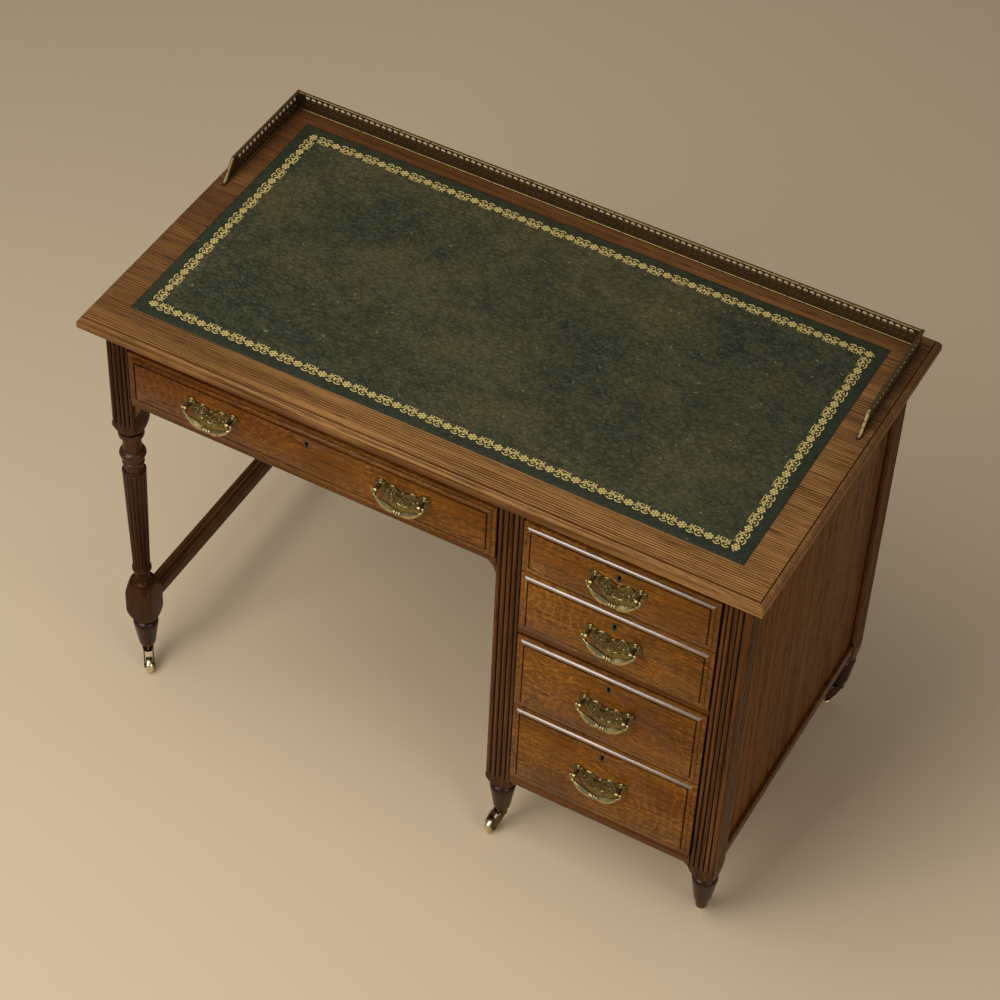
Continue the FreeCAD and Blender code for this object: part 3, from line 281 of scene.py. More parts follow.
# Oak: grain axis, light, dark and pore tones, run of the grain, roughness, gloss, and painted shade in the
# hollows; the pore tone also colours that painted shade
PLAIN_STREAK = (3.0, 190.0)
PLAIN_WAVER = 0.006
PLAIN_CONTRAST = 0.7
OAKS = {
    "oak_top": dict(
        axis="x", tones=((172, 126, 72), (92, 56, 24), (40, 22, 10)),
        streak=(1.4, 420.0), waver=0.004, contrast=0.45,
        rough=(0.40, 0.54), gloss=0.15, hollow_shade=(0.20, 0.60, 0.8),
    ),
    "oak_front": dict(
        axis="x", tones=((122, 74, 13), (80, 43, 5), (36, 17, 2)),
        streak=(9.0, 160.0), waver=0.02, contrast=0.4, figure=colour(164, 106, 34),
        rough=(0.16, 0.26), gloss=0.2, hollow_shade=(0.30, 0.70, 0.9),
    ),
    "oak_bead": dict(
        axis="x", tones=((112, 68, 20), (70, 38, 8), (26, 12, 3)),
        streak=(9.0, 160.0), waver=0.02, contrast=0.5, polish=1.0,
        rough=(0.32, 0.42), gloss=0.9, hollow_shade=(0.30, 0.70, 0.9),
    ),
    "oak_turned": dict(
        axis="z", tones=((74, 38, 13), (44, 20, 6), (10, 5, 2)),
        contrast=0.6, polish=0.1,
        rough=(0.14, 0.22), gloss=0.15, hollow_shade=(0.06, 0.38, 0.9),
    ),
    "oak_leg": dict(
        axis="z", tones=((66, 32, 9), (36, 15, 3), (8, 4, 1)),
        rough=(0.14, 0.24), gloss=0.13, hollow_shade=(0.06, 0.38, 0.98),
    ),
    "oak_frame": dict(
        axis="z", tones=((108, 62, 24), (58, 29, 8), (10, 5, 1)),
        rough=(0.24, 0.38), gloss=0.14, hollow_shade=(0.06, 0.38, 0.98),
    ),
    "oak_panel": dict(
        axis="z", tones=((120, 73, 27), (82, 46, 15), (30, 15, 4)),
        streak=(2.5, 110.0), waver=0.012,
        rough=(0.36, 0.50), gloss=0.06, hollow_shade=(0.30, 0.75, 0.8),
    ),
    "oak_rail": dict(
        axis="x", tones=((104, 60, 18), (62, 32, 7), (22, 10, 3)),
        rough=(0.20, 0.34), gloss=0.2, hollow_shade=(0.30, 0.75, 0.8),
    ),
    "oak_stretcher": dict(
        axis="y", tones=((82, 50, 22), (48, 27, 11), (14, 7, 2)),
        rough=(0.30, 0.44), gloss=0.12, hollow_shade=(0.20, 0.60, 0.85),
    ),
    "drawer_wood": dict(
        axis="y", tones=((178, 138, 92), (142, 104, 64), (92, 62, 36)),
        streak=(3.0, 130.0), waver=0.01, contrast=0.5,
        rough=(0.5, 0.7), gloss=0.2, hollow_shade=(0.30, 0.75, 0.6),
    ),
}
WAVER_SCALE = (3.0, 8.0)
TONE_SCALE = (2.0, 11.0)
PORE_SCALE = (30.0, 900.0)
PORE_SHARE = 0.8
PORE_ROUGHNESS = 0.2
SMEAR_SCALE = 22.0
# Reach of the painted shade in the hollows, found by ambient occlusion
HOLLOW_SHADE_REACH = 5 * MM
STREAK_HEIGHT = 0.5
GRAIN_BUMP = (0.2 * MM, 0.5)
WARM_SHINE = (1.0, 0.86, 0.66, 1.0)
POLISH_ROUGHNESS = 0.3
POLISH_INDEX = 2.2


def oak(name, axis, tones, rough, gloss, hollow_shade, streak=PLAIN_STREAK, waver=PLAIN_WAVER,
        contrast=PLAIN_CONTRAST, figure=None, polish=0.0):
    paint = Paint(name)
    light, dark, pore_and_shade_tone = [colour(*tone) for tone in tones]
    wandering = paint.warped(paint.place, along(axis, *WAVER_SCALE), waver)
    tone = paint.patches(along(axis, *TONE_SCALE), low=0.3, high=0.7)
    streaks = paint.noise(along(axis, *streak), detail=3.0, roughness=0.6, vector=wandering)
    lines = paint.band(streaks, low=0.40, high=0.58)
    dashes = paint.noise(along(axis, *PORE_SCALE), detail=1.0, vector=wandering)
    pores = paint.times(paint.band(dashes, low=0.52, high=0.66), paint.spread(lines, low=1.0, high=0.35))
    base = paint.mix(paint.spread(tone, low=0.6, high=1.0), dark, light)
    base = paint.tint(base, paint.minus(1.0, lines), contrast, dark)
    if figure:
        base = paint.tint(base, flecks(paint, axis), FLECK_SHARE, figure)
        base = paint.tint(base, flames(paint), FLAME_SHARE, figure)
        base = paint.tint(base, curls(paint), CURL_SHARE, dark)
        # Painted shade towards the far left of the fronts, with broad patches of wood tone
        base = paint.darken(base, front_shade_and_tone(paint))
    base = paint.tint(base, pores, PORE_SHARE, pore_and_shade_tone)
    if name == "oak_top":
        base = paint.mix(growth_lines(paint), base, dark)
        base = paint.darken(base, top_shade(paint))
    if axis == "z":
        base = paint.darken(base, foot_shade(paint))
    # Painted shade: hollows found by ambient occlusion are tinted towards the pore tone
    hollow_shade_low, hollow_shade_high, hollow_shade_share = hollow_shade
    base = paint.tint(base, paint.hollow(HOLLOW_SHADE_REACH, hollow_shade_low, hollow_shade_high), hollow_shade_share, pore_and_shade_tone)
    smears = paint.noise(SMEAR_SCALE, detail=3.0)
    roughness = paint.plus(paint.spread(smears, *rough), paint.times(pores, PORE_ROUGHNESS))
    paint.set({"Base Color": base, "Roughness": roughness, "Specular IOR Level": gloss})
    paint.set({"Specular Tint": WARM_SHINE, "Coat Weight": polish})
    paint.set({"Coat Roughness": POLISH_ROUGHNESS, "Coat IOR": POLISH_INDEX})
    paint.bump(paint.minus(paint.times(streaks, STREAK_HEIGHT), pores), *GRAIN_BUMP)
    return paint.material


# Figure of the oak: pitches of its lines, how far they drift, and the share of each kind of mark
LINE_PITCH = 4.2 * MM
LINE_DRIFT = 16.0
FLECK_SWIRL = (12.0, 0.045)
FLECK_RIPPLE = (45.0, 0.008)
FLECK_SCALE = (70.0, 400.0)
FLECK_SHARE = 0.85
FLAME_PITCH = 13.0 * MM
FLAME_DRIFT = 22.0
FLAME_SHARE = 0.5
CURL_PHASE = 260.0
CURL_SHARE = 0.55


def growth_lines(paint):
    """Close, nearly straight lines along X, drifting slowly across and fading in places."""
    drift = paint.noise(scale=(1.2, 13.0, 13.0))
    lines = paint.band(paint.waves("Y", LINE_PITCH, drift, LINE_DRIFT), low=-0.6, high=0.8)
    return paint.times(lines, paint.patches(scale=(5.0, 60.0, 60.0), low=0.20, high=0.60))


def flecks(paint, axis):
    """Fine feathery ray flecks of quarter-sawn oak, bent by a slow swirl."""
    curled = paint.warped(paint.warped(paint.place, *FLECK_SWIRL), *FLECK_RIPPLE)
    rays = paint.noise(along(axis, *FLECK_SCALE), detail=3.0, roughness=0.6, vector=curled)
    return paint.times(paint.band(rays, low=0.49, high=0.62), paint.patches(scale=11.0, low=0.30, high=0.62))


def flames(paint):
    """Upright wavering bands of ray figure, here and there."""
    drift = paint.noise(scale=(14.0, 14.0, 30.0), detail=3.0, roughness=0.6)
    bands = paint.band(paint.waves("X", FLAME_PITCH, drift, FLAME_DRIFT), low=0.35, high=0.95)
    return paint.times(bands, paint.patches(scale=(4.0, 4.0, 6.0), low=0.48, high=0.66))


def curls(paint):
    """Thin swirling lines along the contours of a slow noise, broken in places."""
    slow = paint.noise(scale=(6.0, 6.0, 9.0), detail=3.0, roughness=0.4)
    lines = paint.band(paint.math("SINE", paint.times(slow, CURL_PHASE)), low=0.1, high=0.8)
    broken = paint.patches(scale=90.0, low=0.36, high=0.60, detail=3.0, roughness=0.6)
    return paint.times(paint.times(lines, broken), paint.patches(scale=7.0, low=0.30, high=0.60, detail=1.0))


# Shading of the oak by place: colours that the wood is multiplied with where it is darkest
FRONT_SHADE_AND_TONE = (0.46, 0.29, 0.12, 1.0)
FOOT_DARK = (0.42, 0.38, 0.34, 1.0)
FOOT_BLEND = (95 * MM, 160 * MM)
TOP_DARK = (0.28, 0.19, 0.17, 1.0)
TOP_SIDE_SHARE = 0.42
TOP_FRONT_SHARE = 0.588


def front_shade_and_tone(paint):
    """The fronts are darker and redder towards the far left, which is painted shade, and in broad patches,
    which are tone of the wood.
    """
    side = paint.ramp(paint.part("X"), TOP_LOW.x, 0.0)
    stains = paint.patches(scale=(5.0, 5.0, 9.0), low=0.30, high=0.66)
    return paint.mix(paint.times(side, paint.spread(stains, low=0.5, high=1.0)), FRONT_SHADE_AND_TONE, WHITE)


def foot_shade(paint):
    """Upright wood is darker near the floor."""
    return paint.mix(paint.ramp(paint.part("Z"), *FOOT_BLEND), FOOT_DARK, WHITE)


def top_shade(paint):
    """The top is darker and redder towards the left and the back."""
    side = paint.ramp(paint.part("X"), TOP_LOW.x, TOP_HIGH.x)
    front = paint.ramp(paint.part("Y"), TOP_HIGH.y, TOP_LOW.y)
    share = paint.plus(paint.times(side, TOP_SIDE_SHARE), paint.times(front, TOP_FRONT_SHARE))
    return paint.mix(share, TOP_DARK, WHITE)


# Leather: place of the border, layers of noise with their range, and the share and colour of each tone
BORDER_SIDE = 23.5 * MM
BORDER_FRONT = 24.0 * MM
BORDER_BACK = 23.0 * MM
MARGIN_BLEND = (-4 * MM, 6 * MM)
MARGIN_TONE = (0.75, colour(33, 38, 23))
CREASE_SWIRL = (7.0, 0.05)
CREASE_RIPPLE = (45.0, 0.012)
CREASE_SCALE = (58.0, 140.0, 80.0)
CREASE_WIDTH = 0.16
CREASE_TONE = (0.8, colour(18, 20, 13))
PEBBLE_SCALE = 750.0
PEBBLE_HEIGHT = 0.25
LEATHER_GLOSS = 0.3
LEATHER_BUMP = (0.35 * MM, 0.7)
LEATHER_DARK = colour(25, 31, 18)
LEATHER_WARM = colour(66, 58, 30)
CLOUDS = dict(scale=(6.0, 8.0, 6.0), low=0.34, high=0.68, detail=4.0, roughness=0.6)
STAINS = dict(scale=(9.0, 11.0, 9.0), low=0.56, high=0.74)
MOTTLE = dict(scale=(34.0, 56.0, 40.0), low=0.32, high=0.68, detail=4.0, roughness=0.6)
GRAIN = dict(scale=(190.0, 280.0, 200.0), low=0.42, high=0.62, detail=3.0, roughness=0.6)
SPECKS = dict(scale=150.0, low=0.70, high=0.78)
STAIN_TONE = (0.55, colour(80, 62, 24))
MOTTLE_TONE = (0.4, colour(73, 70, 44))
GRAIN_TONE = (0.3, colour(97, 94, 62))
SPECK_TONE = (0.6, colour(140, 138, 104))


def leather():
    paint = Paint("green_leather")
    creases = leather_creases(paint)
    base = paint.mix(paint.patches(**CLOUDS), LEATHER_DARK, LEATHER_WARM)
    base = paint.tint(base, paint.patches(**STAINS), *STAIN_TONE)
    base = paint.tint(base, paint.patches(**MOTTLE), *MOTTLE_TONE)
    base = paint.tint(base, paint.patches(**GRAIN), *GRAIN_TONE)
    base = paint.tint(base, margin(paint), *MARGIN_TONE)
    base = paint.tint(base, creases, *CREASE_TONE)
    base = paint.tint(base, paint.patches(**SPECKS), *SPECK_TONE)
    roughness = paint.spread(paint.noise(scale=30.0, detail=3.0), low=0.38, high=0.62)
    paint.set({"Base Color": base, "Roughness": roughness, "Specular IOR Level": LEATHER_GLOSS})
    pebbles = paint.add("TexVoronoi", {"Vector": paint.place, "Scale": PEBBLE_SCALE}).outputs["Distance"]
    paint.bump(paint.minus(paint.times(pebbles, PEBBLE_HEIGHT), creases), *LEATHER_BUMP)
    return paint.material


def leather_creases(paint):
    """Fine net of creases, stronger in some places than in others."""
    place = paint.warped(paint.warped(paint.place, *CREASE_SWIRL), *CREASE_RIPPLE)
    values = {"Vector": paint.mapped(place, CREASE_SCALE), "Scale": 1.0}
    cells = paint.add("TexVoronoi", values, feature="DISTANCE_TO_EDGE").outputs["Distance"]
    worn = paint.spread(paint.noise(scale=(3.2, 5.0, 4.0), detail=3.0), low=0.1, high=1.0)
    return paint.times(paint.minus(1.0, paint.band(cells, 0.0, CREASE_WIDTH)), worn)


def margin(paint):
    """1 outside the tooled border, where the leather kept its colour."""
    middle_y = (LEATHER_LOW.y + LEATHER_HIGH.y + BORDER_FRONT - BORDER_BACK) / 2
    half_y = (LEATHER_HIGH.y - LEATHER_LOW.y - BORDER_FRONT - BORDER_BACK) / 2
    half_x = LEATHER_HIGH.x - BORDER_SIDE
    from_x = paint.minus(paint.math("ABSOLUTE", paint.part("X")), half_x)
    from_y = paint.minus(paint.math("ABSOLUTE", paint.minus(paint.part("Y"), middle_y)), half_y)
    return paint.band(paint.math("MAXIMUM", from_x, from_y), *MARGIN_BLEND)


# Brass and other metal: bright colour, colour of the tarnish, roughness and share of the tarnish
METALS = {
    "handle_brass": ((134, 118, 74), (14, 11, 3), 0.24, 0.99),
    "bail_brass": ((184, 168, 120), (34, 28, 11), 0.22, 0.94),
    "gallery_brass": ((116, 98, 62), (28, 22, 10), 0.38, 0.92),
    "castor_brass": ((92, 78, 48), (26, 20, 12), 0.32, 0.8),
    "wheel_brass": ((236, 220, 176), (110, 90, 54), 0.2, 0.5),
    "lining_metal": ((96, 88, 74), (34, 30, 24), 0.4, 0.8),
    "lock_steel": ((132, 128, 118), (52, 48, 42), 0.4, 0.6),
}
TARNISH_REACH = 3.5 * MM
TARNISH_ROUGHNESS = 0.3
BLOTCH_BUMP = (0.1 * MM, 0.25)
GOLD_BRIGHT = colour(214, 190, 112)
GOLD_WORN_TONE = (0.5, colour(104, 80, 32))
GOLD_METAL = 0.25


def metal(name, bright, tarnish, rough, stain):
    paint = Paint(name)
    blotches = paint.noise(scale=260.0, detail=4.0, roughness=0.6)
    hollow = paint.hollow(TARNISH_REACH, low=0.08, high=0.42)
    dull = paint.times(paint.math("MAXIMUM", hollow, paint.band(blotches, low=0.5, high=0.75)), stain)
    roughness = paint.plus(paint.times(dull, TARNISH_ROUGHNESS), rough)
    base = paint.mix(dull, colour(*bright), colour(*tarnish))
    paint.set({"Base Color": base, "Metallic": 1.0, "Roughness": roughness})
    paint.bump(blotches, *BLOTCH_BUMP)
    return paint.material


def gold():
    paint = Paint("gold_tooling")
    worn = paint.patches(scale=330.0, low=0.50, high=0.70, detail=3.0, roughness=0.6)
    base = paint.tint(GOLD_BRIGHT, worn, *GOLD_WORN_TONE)
    shine = paint.spread(paint.noise(scale=45.0), low=0.3, high=0.5)
    paint.set({"Base Color": base, "Metallic": GOLD_METAL, "Roughness": shine})
    return paint.material


# Meshes: angles that count as an edge or as flat, and how far edges are eased
SHARP = radians(26)
FLAT = radians(0.3)
WELD = 2e-6
EASED_EDGE = 0.7 * MM
METAL_EDGE = 0.4 * MM


def mesh_of(name, build):
    """Mesh of a finished bmesh, which is freed."""
    mesh = bpy.data.meshes.new(name)
    build.to_mesh(mesh)
    build.free()
    return mesh


def outward(build):
    bmesh.ops.recalc_face_normals(build, faces=build.faces)
    return build


def piece(name, build, material, body):
    """New object from a bmesh that rides on a body."""
    mesh = mesh_of(name, build)
    if "custom_normal" in mesh.attributes:
        mesh.attributes.remove(mesh.attributes["custom_normal"])
    mesh.materials.clear()
    mesh.materials.append(material)
    mesh.shade_smooth()
    mesh.set_sharp_from_angle(angle=SHARP)
    made = bpy.data.objects.new(name, mesh)
    join(made)
    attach(made, body)
    return made


def stand_in(node, name, build, material, body):
    """Piece that replaces a CAD node."""
    made = piece(name, build, material, body)
    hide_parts(node)
    return made


def softened(node, width, material):
    """The CAD node's own shape with its hard edges eased by width."""
    build = bmesh.new()
    build.from_mesh(NODES[node].data)
    bmesh.ops.remove_doubles(build, verts=build.verts, dist=WELD)
    bmesh.ops.dissolve_limit(build, angle_limit=FLAT, verts=build.verts, edges=build.edges)
    hard = [e for e in build.edges if e.is_manifold and e.calc_face_angle() > SHARP]
    bmesh.ops.bevel(build, geom=hard, offset=width, offset_type="OFFSET", segments=2, profile=0.5,
                    affect="EDGES", clamp_overlap=True)
    return stand_in(node, node + "_eased", build, material, NODES[node]["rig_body"])


def add_stamp(build, mesh, place):
    """Copy of a template mesh, moved by a matrix."""
    first = len(build.verts)
    build.from_mesh(mesh)
    build.verts.ensure_lookup_table()
    bmesh.ops.transform(build, matrix=place, verts=build.verts[first:])


def tube_ring(build, centre, side, up, radii):
    count = len(radii)
    ring = []
    for index, radius in enumerate(radii):
        turn = 2 * pi * index / count
        ring.append(build.verts.new(centre + (side * cos(turn) + up * sin(turn)) * radius))
    return ring


def bridge(build, lower, upper):
    count = len(lower)
    for index in range(count):
        following = (index + 1) % count
        build.faces.new((lower[index], lower[following], upper[following], upper[index]))


def capped(build, rings):
    """Skin over rings of points, closed at both ends."""
    for lower, upper in zip(rings, rings[1:]):
        bridge(build, lower, upper)
    build.faces.new(list(reversed(rings[0])))
    build.faces.new(rings[-1])


def turned_rings(build, profile, origin, axis, side, count):
    """Rings of a turned shape, from steps of radius and height in millimetres."""
    up = axis.cross(side)
    rings = []
    for radius, height in profile:
        rings.append(tube_ring(build, origin + axis * (height * MM), side, up, [radius * MM] * count))
    return rings


def lathe(build, profile, origin, axis, side, count=24):
    """Turned shape with capped ends."""
    capped(build, turned_rings(build, profile, origin, axis, side, count))


def bored(build, profile, centre, axis, side, count=24):
    """Turned ring round a bore: the last step closes on the first."""
    rings = turned_rings(build, profile, centre, axis, side, count)
    for lower, upper in zip(rings, rings[1:] + rings[:1]):
        bridge(build, lower, upper)


def flat_cut(name, outlines, thickness, edge):
    """Mesh of flat outlines and their holes, drawn out to a thickness with softened edges."""
    curve = bpy.data.curves.new(name, "CURVE")
    curve.dimensions = "2D"
    curve.fill_mode = "BOTH"
    curve.extrude = thickness / 2 - edge
    curve.bevel_depth = edge
    curve.bevel_resolution = 1
    curve.offset = -edge
    for points in outlines:
        spline = curve.splines.new("POLY")
        spline.points.add(len(points) - 1)
        for point, (x, y) in zip(spline.points, points):
            point.co = (x, y, 0, 1)
        spline.use_cyclic_u = True
    holder = bpy.data.objects.new(name, curve)
    join(holder)
    ready = holder.evaluated_get(bpy.context.evaluated_depsgraph_get())
    mesh = bpy.data.meshes.new_from_object(ready)
    bpy.data.objects.remove(holder)
    bpy.data.curves.remove(curve)
    return mesh


# Flat outlines
def ellipse(x, y, width, height, count):
    turns = [2 * pi * index / count for index in range(count)]
    return [(x + width * cos(turn), y + height * sin(turn)) for turn in turns]


def arc_band(x, y, radius, width, start, end, count=10):
    """Flat band along an arc, with angles in degrees."""
    turns = [radians(start + (end - start) * index / count) for index in range(count + 1)]
    edges = (radius + width / 2, radius - width / 2)
    outer, inner = [[(x + edge * cos(t), y + edge * sin(t)) for t in turns] for edge in edges]
    return outer + inner[::-1]


def rectangle(half_width, half_height):
    return [(-half_width, -half_height), (half_width, -half_height),
            (half_width, half_height), (-half_width, half_height)]


def in_metres(outlines):
    return [[(x * MM, y * MM) for x, y in points] for points in outlines]


# Leather skin: fine grid, calm at the border and gently uneven inside it
SKIN_COLUMNS = 240
SKIN_ROWS = 120
SKIN_SWELL = 0.12 * MM
SKIN_SCALE = (14, 30)
SKIN_FRACTAL = (0.9, 2.0, 4)
SKIN_CALM = 40 * MM
SKIN_BLEND = 40 * MM
SKIN_ROLL = 0.5 * MM
SKIN_ROLL_WIDTH = 3 * MM


def ease(value):
    held = min(1.0, max(0.0, value))
    return held * held * (3 - 2 * held)


def skin_height(x, y):
    edge_x = (LEATHER_HIGH.x - LEATHER_LOW.x) / 2 - abs(x)
    edge = min(edge_x, y - LEATHER_LOW.y, LEATHER_HIGH.y - y)
    calm = ease((edge - SKIN_CALM) / SKIN_BLEND)
    place = Vector((x * SKIN_SCALE[0], y * SKIN_SCALE[1], 0))
    swell = noise.fractal(place, *SKIN_FRACTAL) * SKIN_SWELL * calm
    return swell - SKIN_ROLL * (1 - ease(edge / SKIN_ROLL_WIDTH))


def leather_skin(material):
    build = bmesh.new()
    size = LEATHER_HIGH - LEATHER_LOW
    rows = []
    for row in range(SKIN_ROWS + 1):
        y = LEATHER_LOW.y + size.y * row / SKIN_ROWS
        line = []
        for column in range(SKIN_COLUMNS + 1):
            x = LEATHER_LOW.x + size.x * column / SKIN_COLUMNS
            line.append(build.verts.new((x, y, LEATHER_HIGH.z + skin_height(x, y))))
        rows.append(line)
    for lower, upper in zip(rows, rows[1:]):
        for index in range(SKIN_COLUMNS):
            build.faces.new((lower[index], lower[index + 1], upper[index + 1], upper[index]))
    stand_in("leather_panel", "leather_skin", build, material, "desk")


# Gold tooling, in millimetres: a spot has its rise, half sizes and points, an arc its rise, radius and width
LINKS_WIDE = 23
LINKS_DEEP = 11
FOIL = 0.16 * MM
FOIL_SINK = 0.05 * MM
FOIL_EDGE = 0.03 * MM
PETALS = 6
PETAL_RING = (4.5, 4.3)
PETAL_SIZE = (2.0, 1.9, 12)
FLOWER_BOSS = (0, 2.1, 2.1, 12)
FLOWER_BUD_REACH = 7.4
FLOWER_BUD = (0, 1.3, 1.0, 8)
LINK_BUD = (-0.4, 1.5, 3.2, 12)
LINK_BEAD = (-7.2, 1.3, 1.2, 10)
SIDE_BEADS = {3.8: (-6.9, 1.4, 1.2, 10), 8.6: (-7.0, 1.2, 1.1, 10)}
SCROLL_REACH = 6.3
SCROLL_ARC = (-1.0, 3.4, 2.2)
SCROLL_MIDDLE = -90
SCROLL_FROM = 95
SCROLL_TO = 110
SCROLL_EYE = (-0.6, 1.4, 1.3, 10)
SCROLL_LEAF = (2.6, 2.4, 1.1, 10)
GARLAND_ARC = (0.9, 6.2, 1.7)
GARLAND_TURN = (36, 144)


def flower_outlines():
    """Flower of petals round a boss, with a bud towards each neighbour."""
    outlines = [ellipse(0, *FLOWER_BOSS)]
    for index in range(PETALS):
        turn = 2 * pi * (index + 0.5) / PETALS
        outlines.append(ellipse(PETAL_RING[0] * cos(turn), PETAL_RING[1] * sin(turn), *PETAL_SIZE))
    for side in (-1, 1):
        outlines.append(ellipse(side * FLOWER_BUD_REACH, *FLOWER_BUD))
    return outlines


def link_outlines(half):
    """Two C-scrolls round a bud, a garland with leaves on the outer side, and beads on the inner side."""
    outlines = [ellipse(half, *LINK_BUD), ellipse(half, *LINK_BEAD)]
    for side in (-1, 1):
        curl = half + side * SCROLL_REACH
        ends = (SCROLL_MIDDLE - side * SCROLL_FROM, SCROLL_MIDDLE + side * SCROLL_TO)
        outlines.append(arc_band(curl, *SCROLL_ARC, *ends))
        outlines.append(ellipse(curl, *SCROLL_EYE))
        outlines.append(ellipse(curl, *SCROLL_LEAF))
        outlines.append(arc_band(curl, *GARLAND_ARC, *GARLAND_TURN))
        for reach, bead in SIDE_BEADS.items():
            outlines.append(ellipse(half + side * reach, *bead))
    return outlines


def gold_border(material):
    left = LEATHER_LOW.x + BORDER_SIDE
    right = LEATHER_HIGH.x - BORDER_SIDE
    front = LEATHER_LOW.y + BORDER_FRONT
    back = LEATHER_HIGH.y - BORDER_BACK
    corners = [Vector(corner) for corner in ((left, front), (right, front), (right, back), (left, back))]
    counts = (LINKS_WIDE, LINKS_DEEP) * 2
    build = bmesh.new()
    flower = flat_cut("flower", in_metres(flower_outlines()), FOIL, FOIL_EDGE)
    for start, end, count in zip(corners, corners[1:] + corners[:1], counts):
        run = end - start
        pitch = run.length / count
        link = flat_cut("link", in_metres(link_outlines(pitch / MM / 2)), FOIL, FOIL_EDGE)
        facing = Matrix.Rotation(atan2(run.y, run.x), 4, "Z") @ Matrix.Scale(-1, 4, (0, 1, 0))
        for index in range(count):
            at = start + run * index / count
            place = Matrix.Translation((at.x, at.y, LEATHER_HIGH.z - FOIL_SINK + FOIL / 2)) @ facing
            add_stamp(build, flower, place)
            add_stamp(build, link, place)
        bpy.data.meshes.remove(link)
    bpy.data.meshes.remove(flower)
    piece("gold_border", outward(build), material, "desk")


# Gallery: pierced strips between a rounded top rail and a base rail; the cuts are in millimetres
GALLERY_PITCH = 10.2 * MM
GALLERY_WEB = 1.4 * MM
GALLERY_WEB_EDGE = 0.2 * MM
GALLERY_WEB_DROP = 0.5 * MM
GALLERY_RAIL = 5.0 * MM
GALLERY_RAIL_HIGH = 2.4 * MM
GALLERY_SWEEP = 32.0 * MM
SWEEP_STEPS = 20
RAIL_FLAT = 0.6
RAIL_ROUND = 0.3
HOLE = (23.6, 3.7, 3.9, 16)
CUP_ARC = (15.4, 3.4, 1.7)
CUP_TURN = (200, 340, 8)
CUP_EYE = (14.6, 1.1, 1.2, 8)
LOW_EYE = (7.2, 1.5, 1.9, 10)


def gallery_cuts(length):
    """Round holes under the top rail, a cup with an eye below each, and a low eye between the cups."""
    count = int((length - GALLERY_PITCH) / GALLERY_PITCH)
    first = (length - (count - 1) * GALLERY_PITCH) / 2
    pattern = [ellipse(0, *HOLE), arc_band(0, *CUP_ARC, *CUP_TURN), ellipse(0, *CUP_EYE)]
    between = ellipse(GALLERY_PITCH / 2 / MM, *LOW_EYE)
    cuts = []
    for index in range(count):
        at = first + index * GALLERY_PITCH
        outlines = pattern + [between] if index + 1 < count else pattern
        for points in in_metres(outlines):
            cuts.append([(at + x, y) for x, y in points])
    return cuts


def rail_along(build, points, width, height):
    """Rounded bar along local X, whose top follows points of a run and a rise."""
    half = width / 2
    shoulder = RAIL_ROUND * height
    profile = ((-half, -height), (-half, -shoulder), (-RAIL_FLAT * half, 0), (RAIL_FLAT * half, 0),
               (half, -shoulder), (half, -height))
    rings = []
    for index, (run, rise) in enumerate(points):
        before = Vector(points[max(0, index - 1)])
        after = Vector(points[min(len(points) - 1, index + 1)])
        slope = (after - before).normalized()
        lean = Vector((-slope.y, slope.x))
        ring = []
        for across, drop in profile:
            ring.append(build.verts.new((run + lean.x * drop, rise + lean.y * drop, across)))
        rings.append(ring)
    capped(build, rings)


def gallery_strip(build, length, place, sweep):
    """Strip drawn along local X, whose far end may sweep down in an S, and then put at its place."""
    high = GALLERY_HIGH.z - GALLERY_LOW.z
    first = len(build.verts)
    pierced = length - sweep
    top = [(0, high), (pierced, high)]
    for index in range(1, SWEEP_STEPS + 1 if sweep else 1):
        share = index / SWEEP_STEPS
        top.append((length - sweep * (1 - share), high - (high - GALLERY_RAIL_HIGH) * ease(share)))
    outline = [(0, 0), (length, 0)] + [(run, rise - GALLERY_WEB_DROP) for run, rise in reversed(top)]
    web = flat_cut("gallery_web", [outline] + gallery_cuts(pierced), GALLERY_WEB, GALLERY_WEB_EDGE)
    build.from_mesh(web)
    bpy.data.meshes.remove(web)
    base = [(0, GALLERY_RAIL_HIGH), (length, GALLERY_RAIL_HIGH)]
    for points in (top, base):
        rail_along(build, points, GALLERY_RAIL, GALLERY_RAIL_HIGH)
    build.verts.ensure_lookup_table()
    bmesh.ops.transform(build, matrix=place, verts=build.verts[first:])


def gallery(material):
    build = bmesh.new()
    half = GALLERY_RAIL / 2
    back = GALLERY_HIGH.y - half
    left = GALLERY_LOW.x + half
    right = GALLERY_HIGH.x - half
    upright = Matrix.Rotation(pi / 2, 4, "X")
    start = Matrix.Translation((left + half, back, GALLERY_LOW.z))
    gallery_strip(build, right - left - GALLERY_RAIL, start @ upright, 0)
    forwards = Matrix.Rotation(-pi / 2, 4, "Z") @ upright
    for x in (left, right):
        corner = Matrix.Translation((x, GALLERY_HIGH.y, GALLERY_LOW.z))
        gallery_strip(build, GALLERY_HIGH.y - GALLERY_LOW.y, corner @ forwards, GALLERY_SWEEP)
    stand_in("gallery", "pierced_gallery", outward(build), material, "desk")


# Handle plates: both halves are alike; sizes in millimetres, and curves with their low point, rise and power
PLATE_HALF = 33.0
PLATE_BODY = 1.3
PLATE_COLUMNS = 120
PLATE_ROWS = 44
PLATE_EDGE_START = 0.35
PLATE_EDGE_WIDTH = 1.2
HUMP_RUN = 15
HUMP_RISE = 6.5
NOTCH_TOP = 5
SHOULDER_FALL = 7.5
FOOT_CURVE = (-32.0, 22.0, 3.4)
RIM_CURVE = (-20.0, 15.0, 2.4)


def plate_top(x):
    """Notch in the middle, a hump at each side of it and falling shoulders."""
    run = abs(x)
    if run < HUMP_RUN:
        return NOTCH_TOP + HUMP_RISE * sin(pi / 2 * run / HUMP_RUN) ** 2
    return NOTCH_TOP + HUMP_RISE - SHOULDER_FALL * ((run - HUMP_RUN) / (PLATE_HALF - HUMP_RUN)) ** 2


def plate_curve(x, low, rise, power):
    """Height of the foot, or of the raised rim over the plain hollow skirt."""
    return low + rise * (abs(x) / PLATE_HALF) ** power


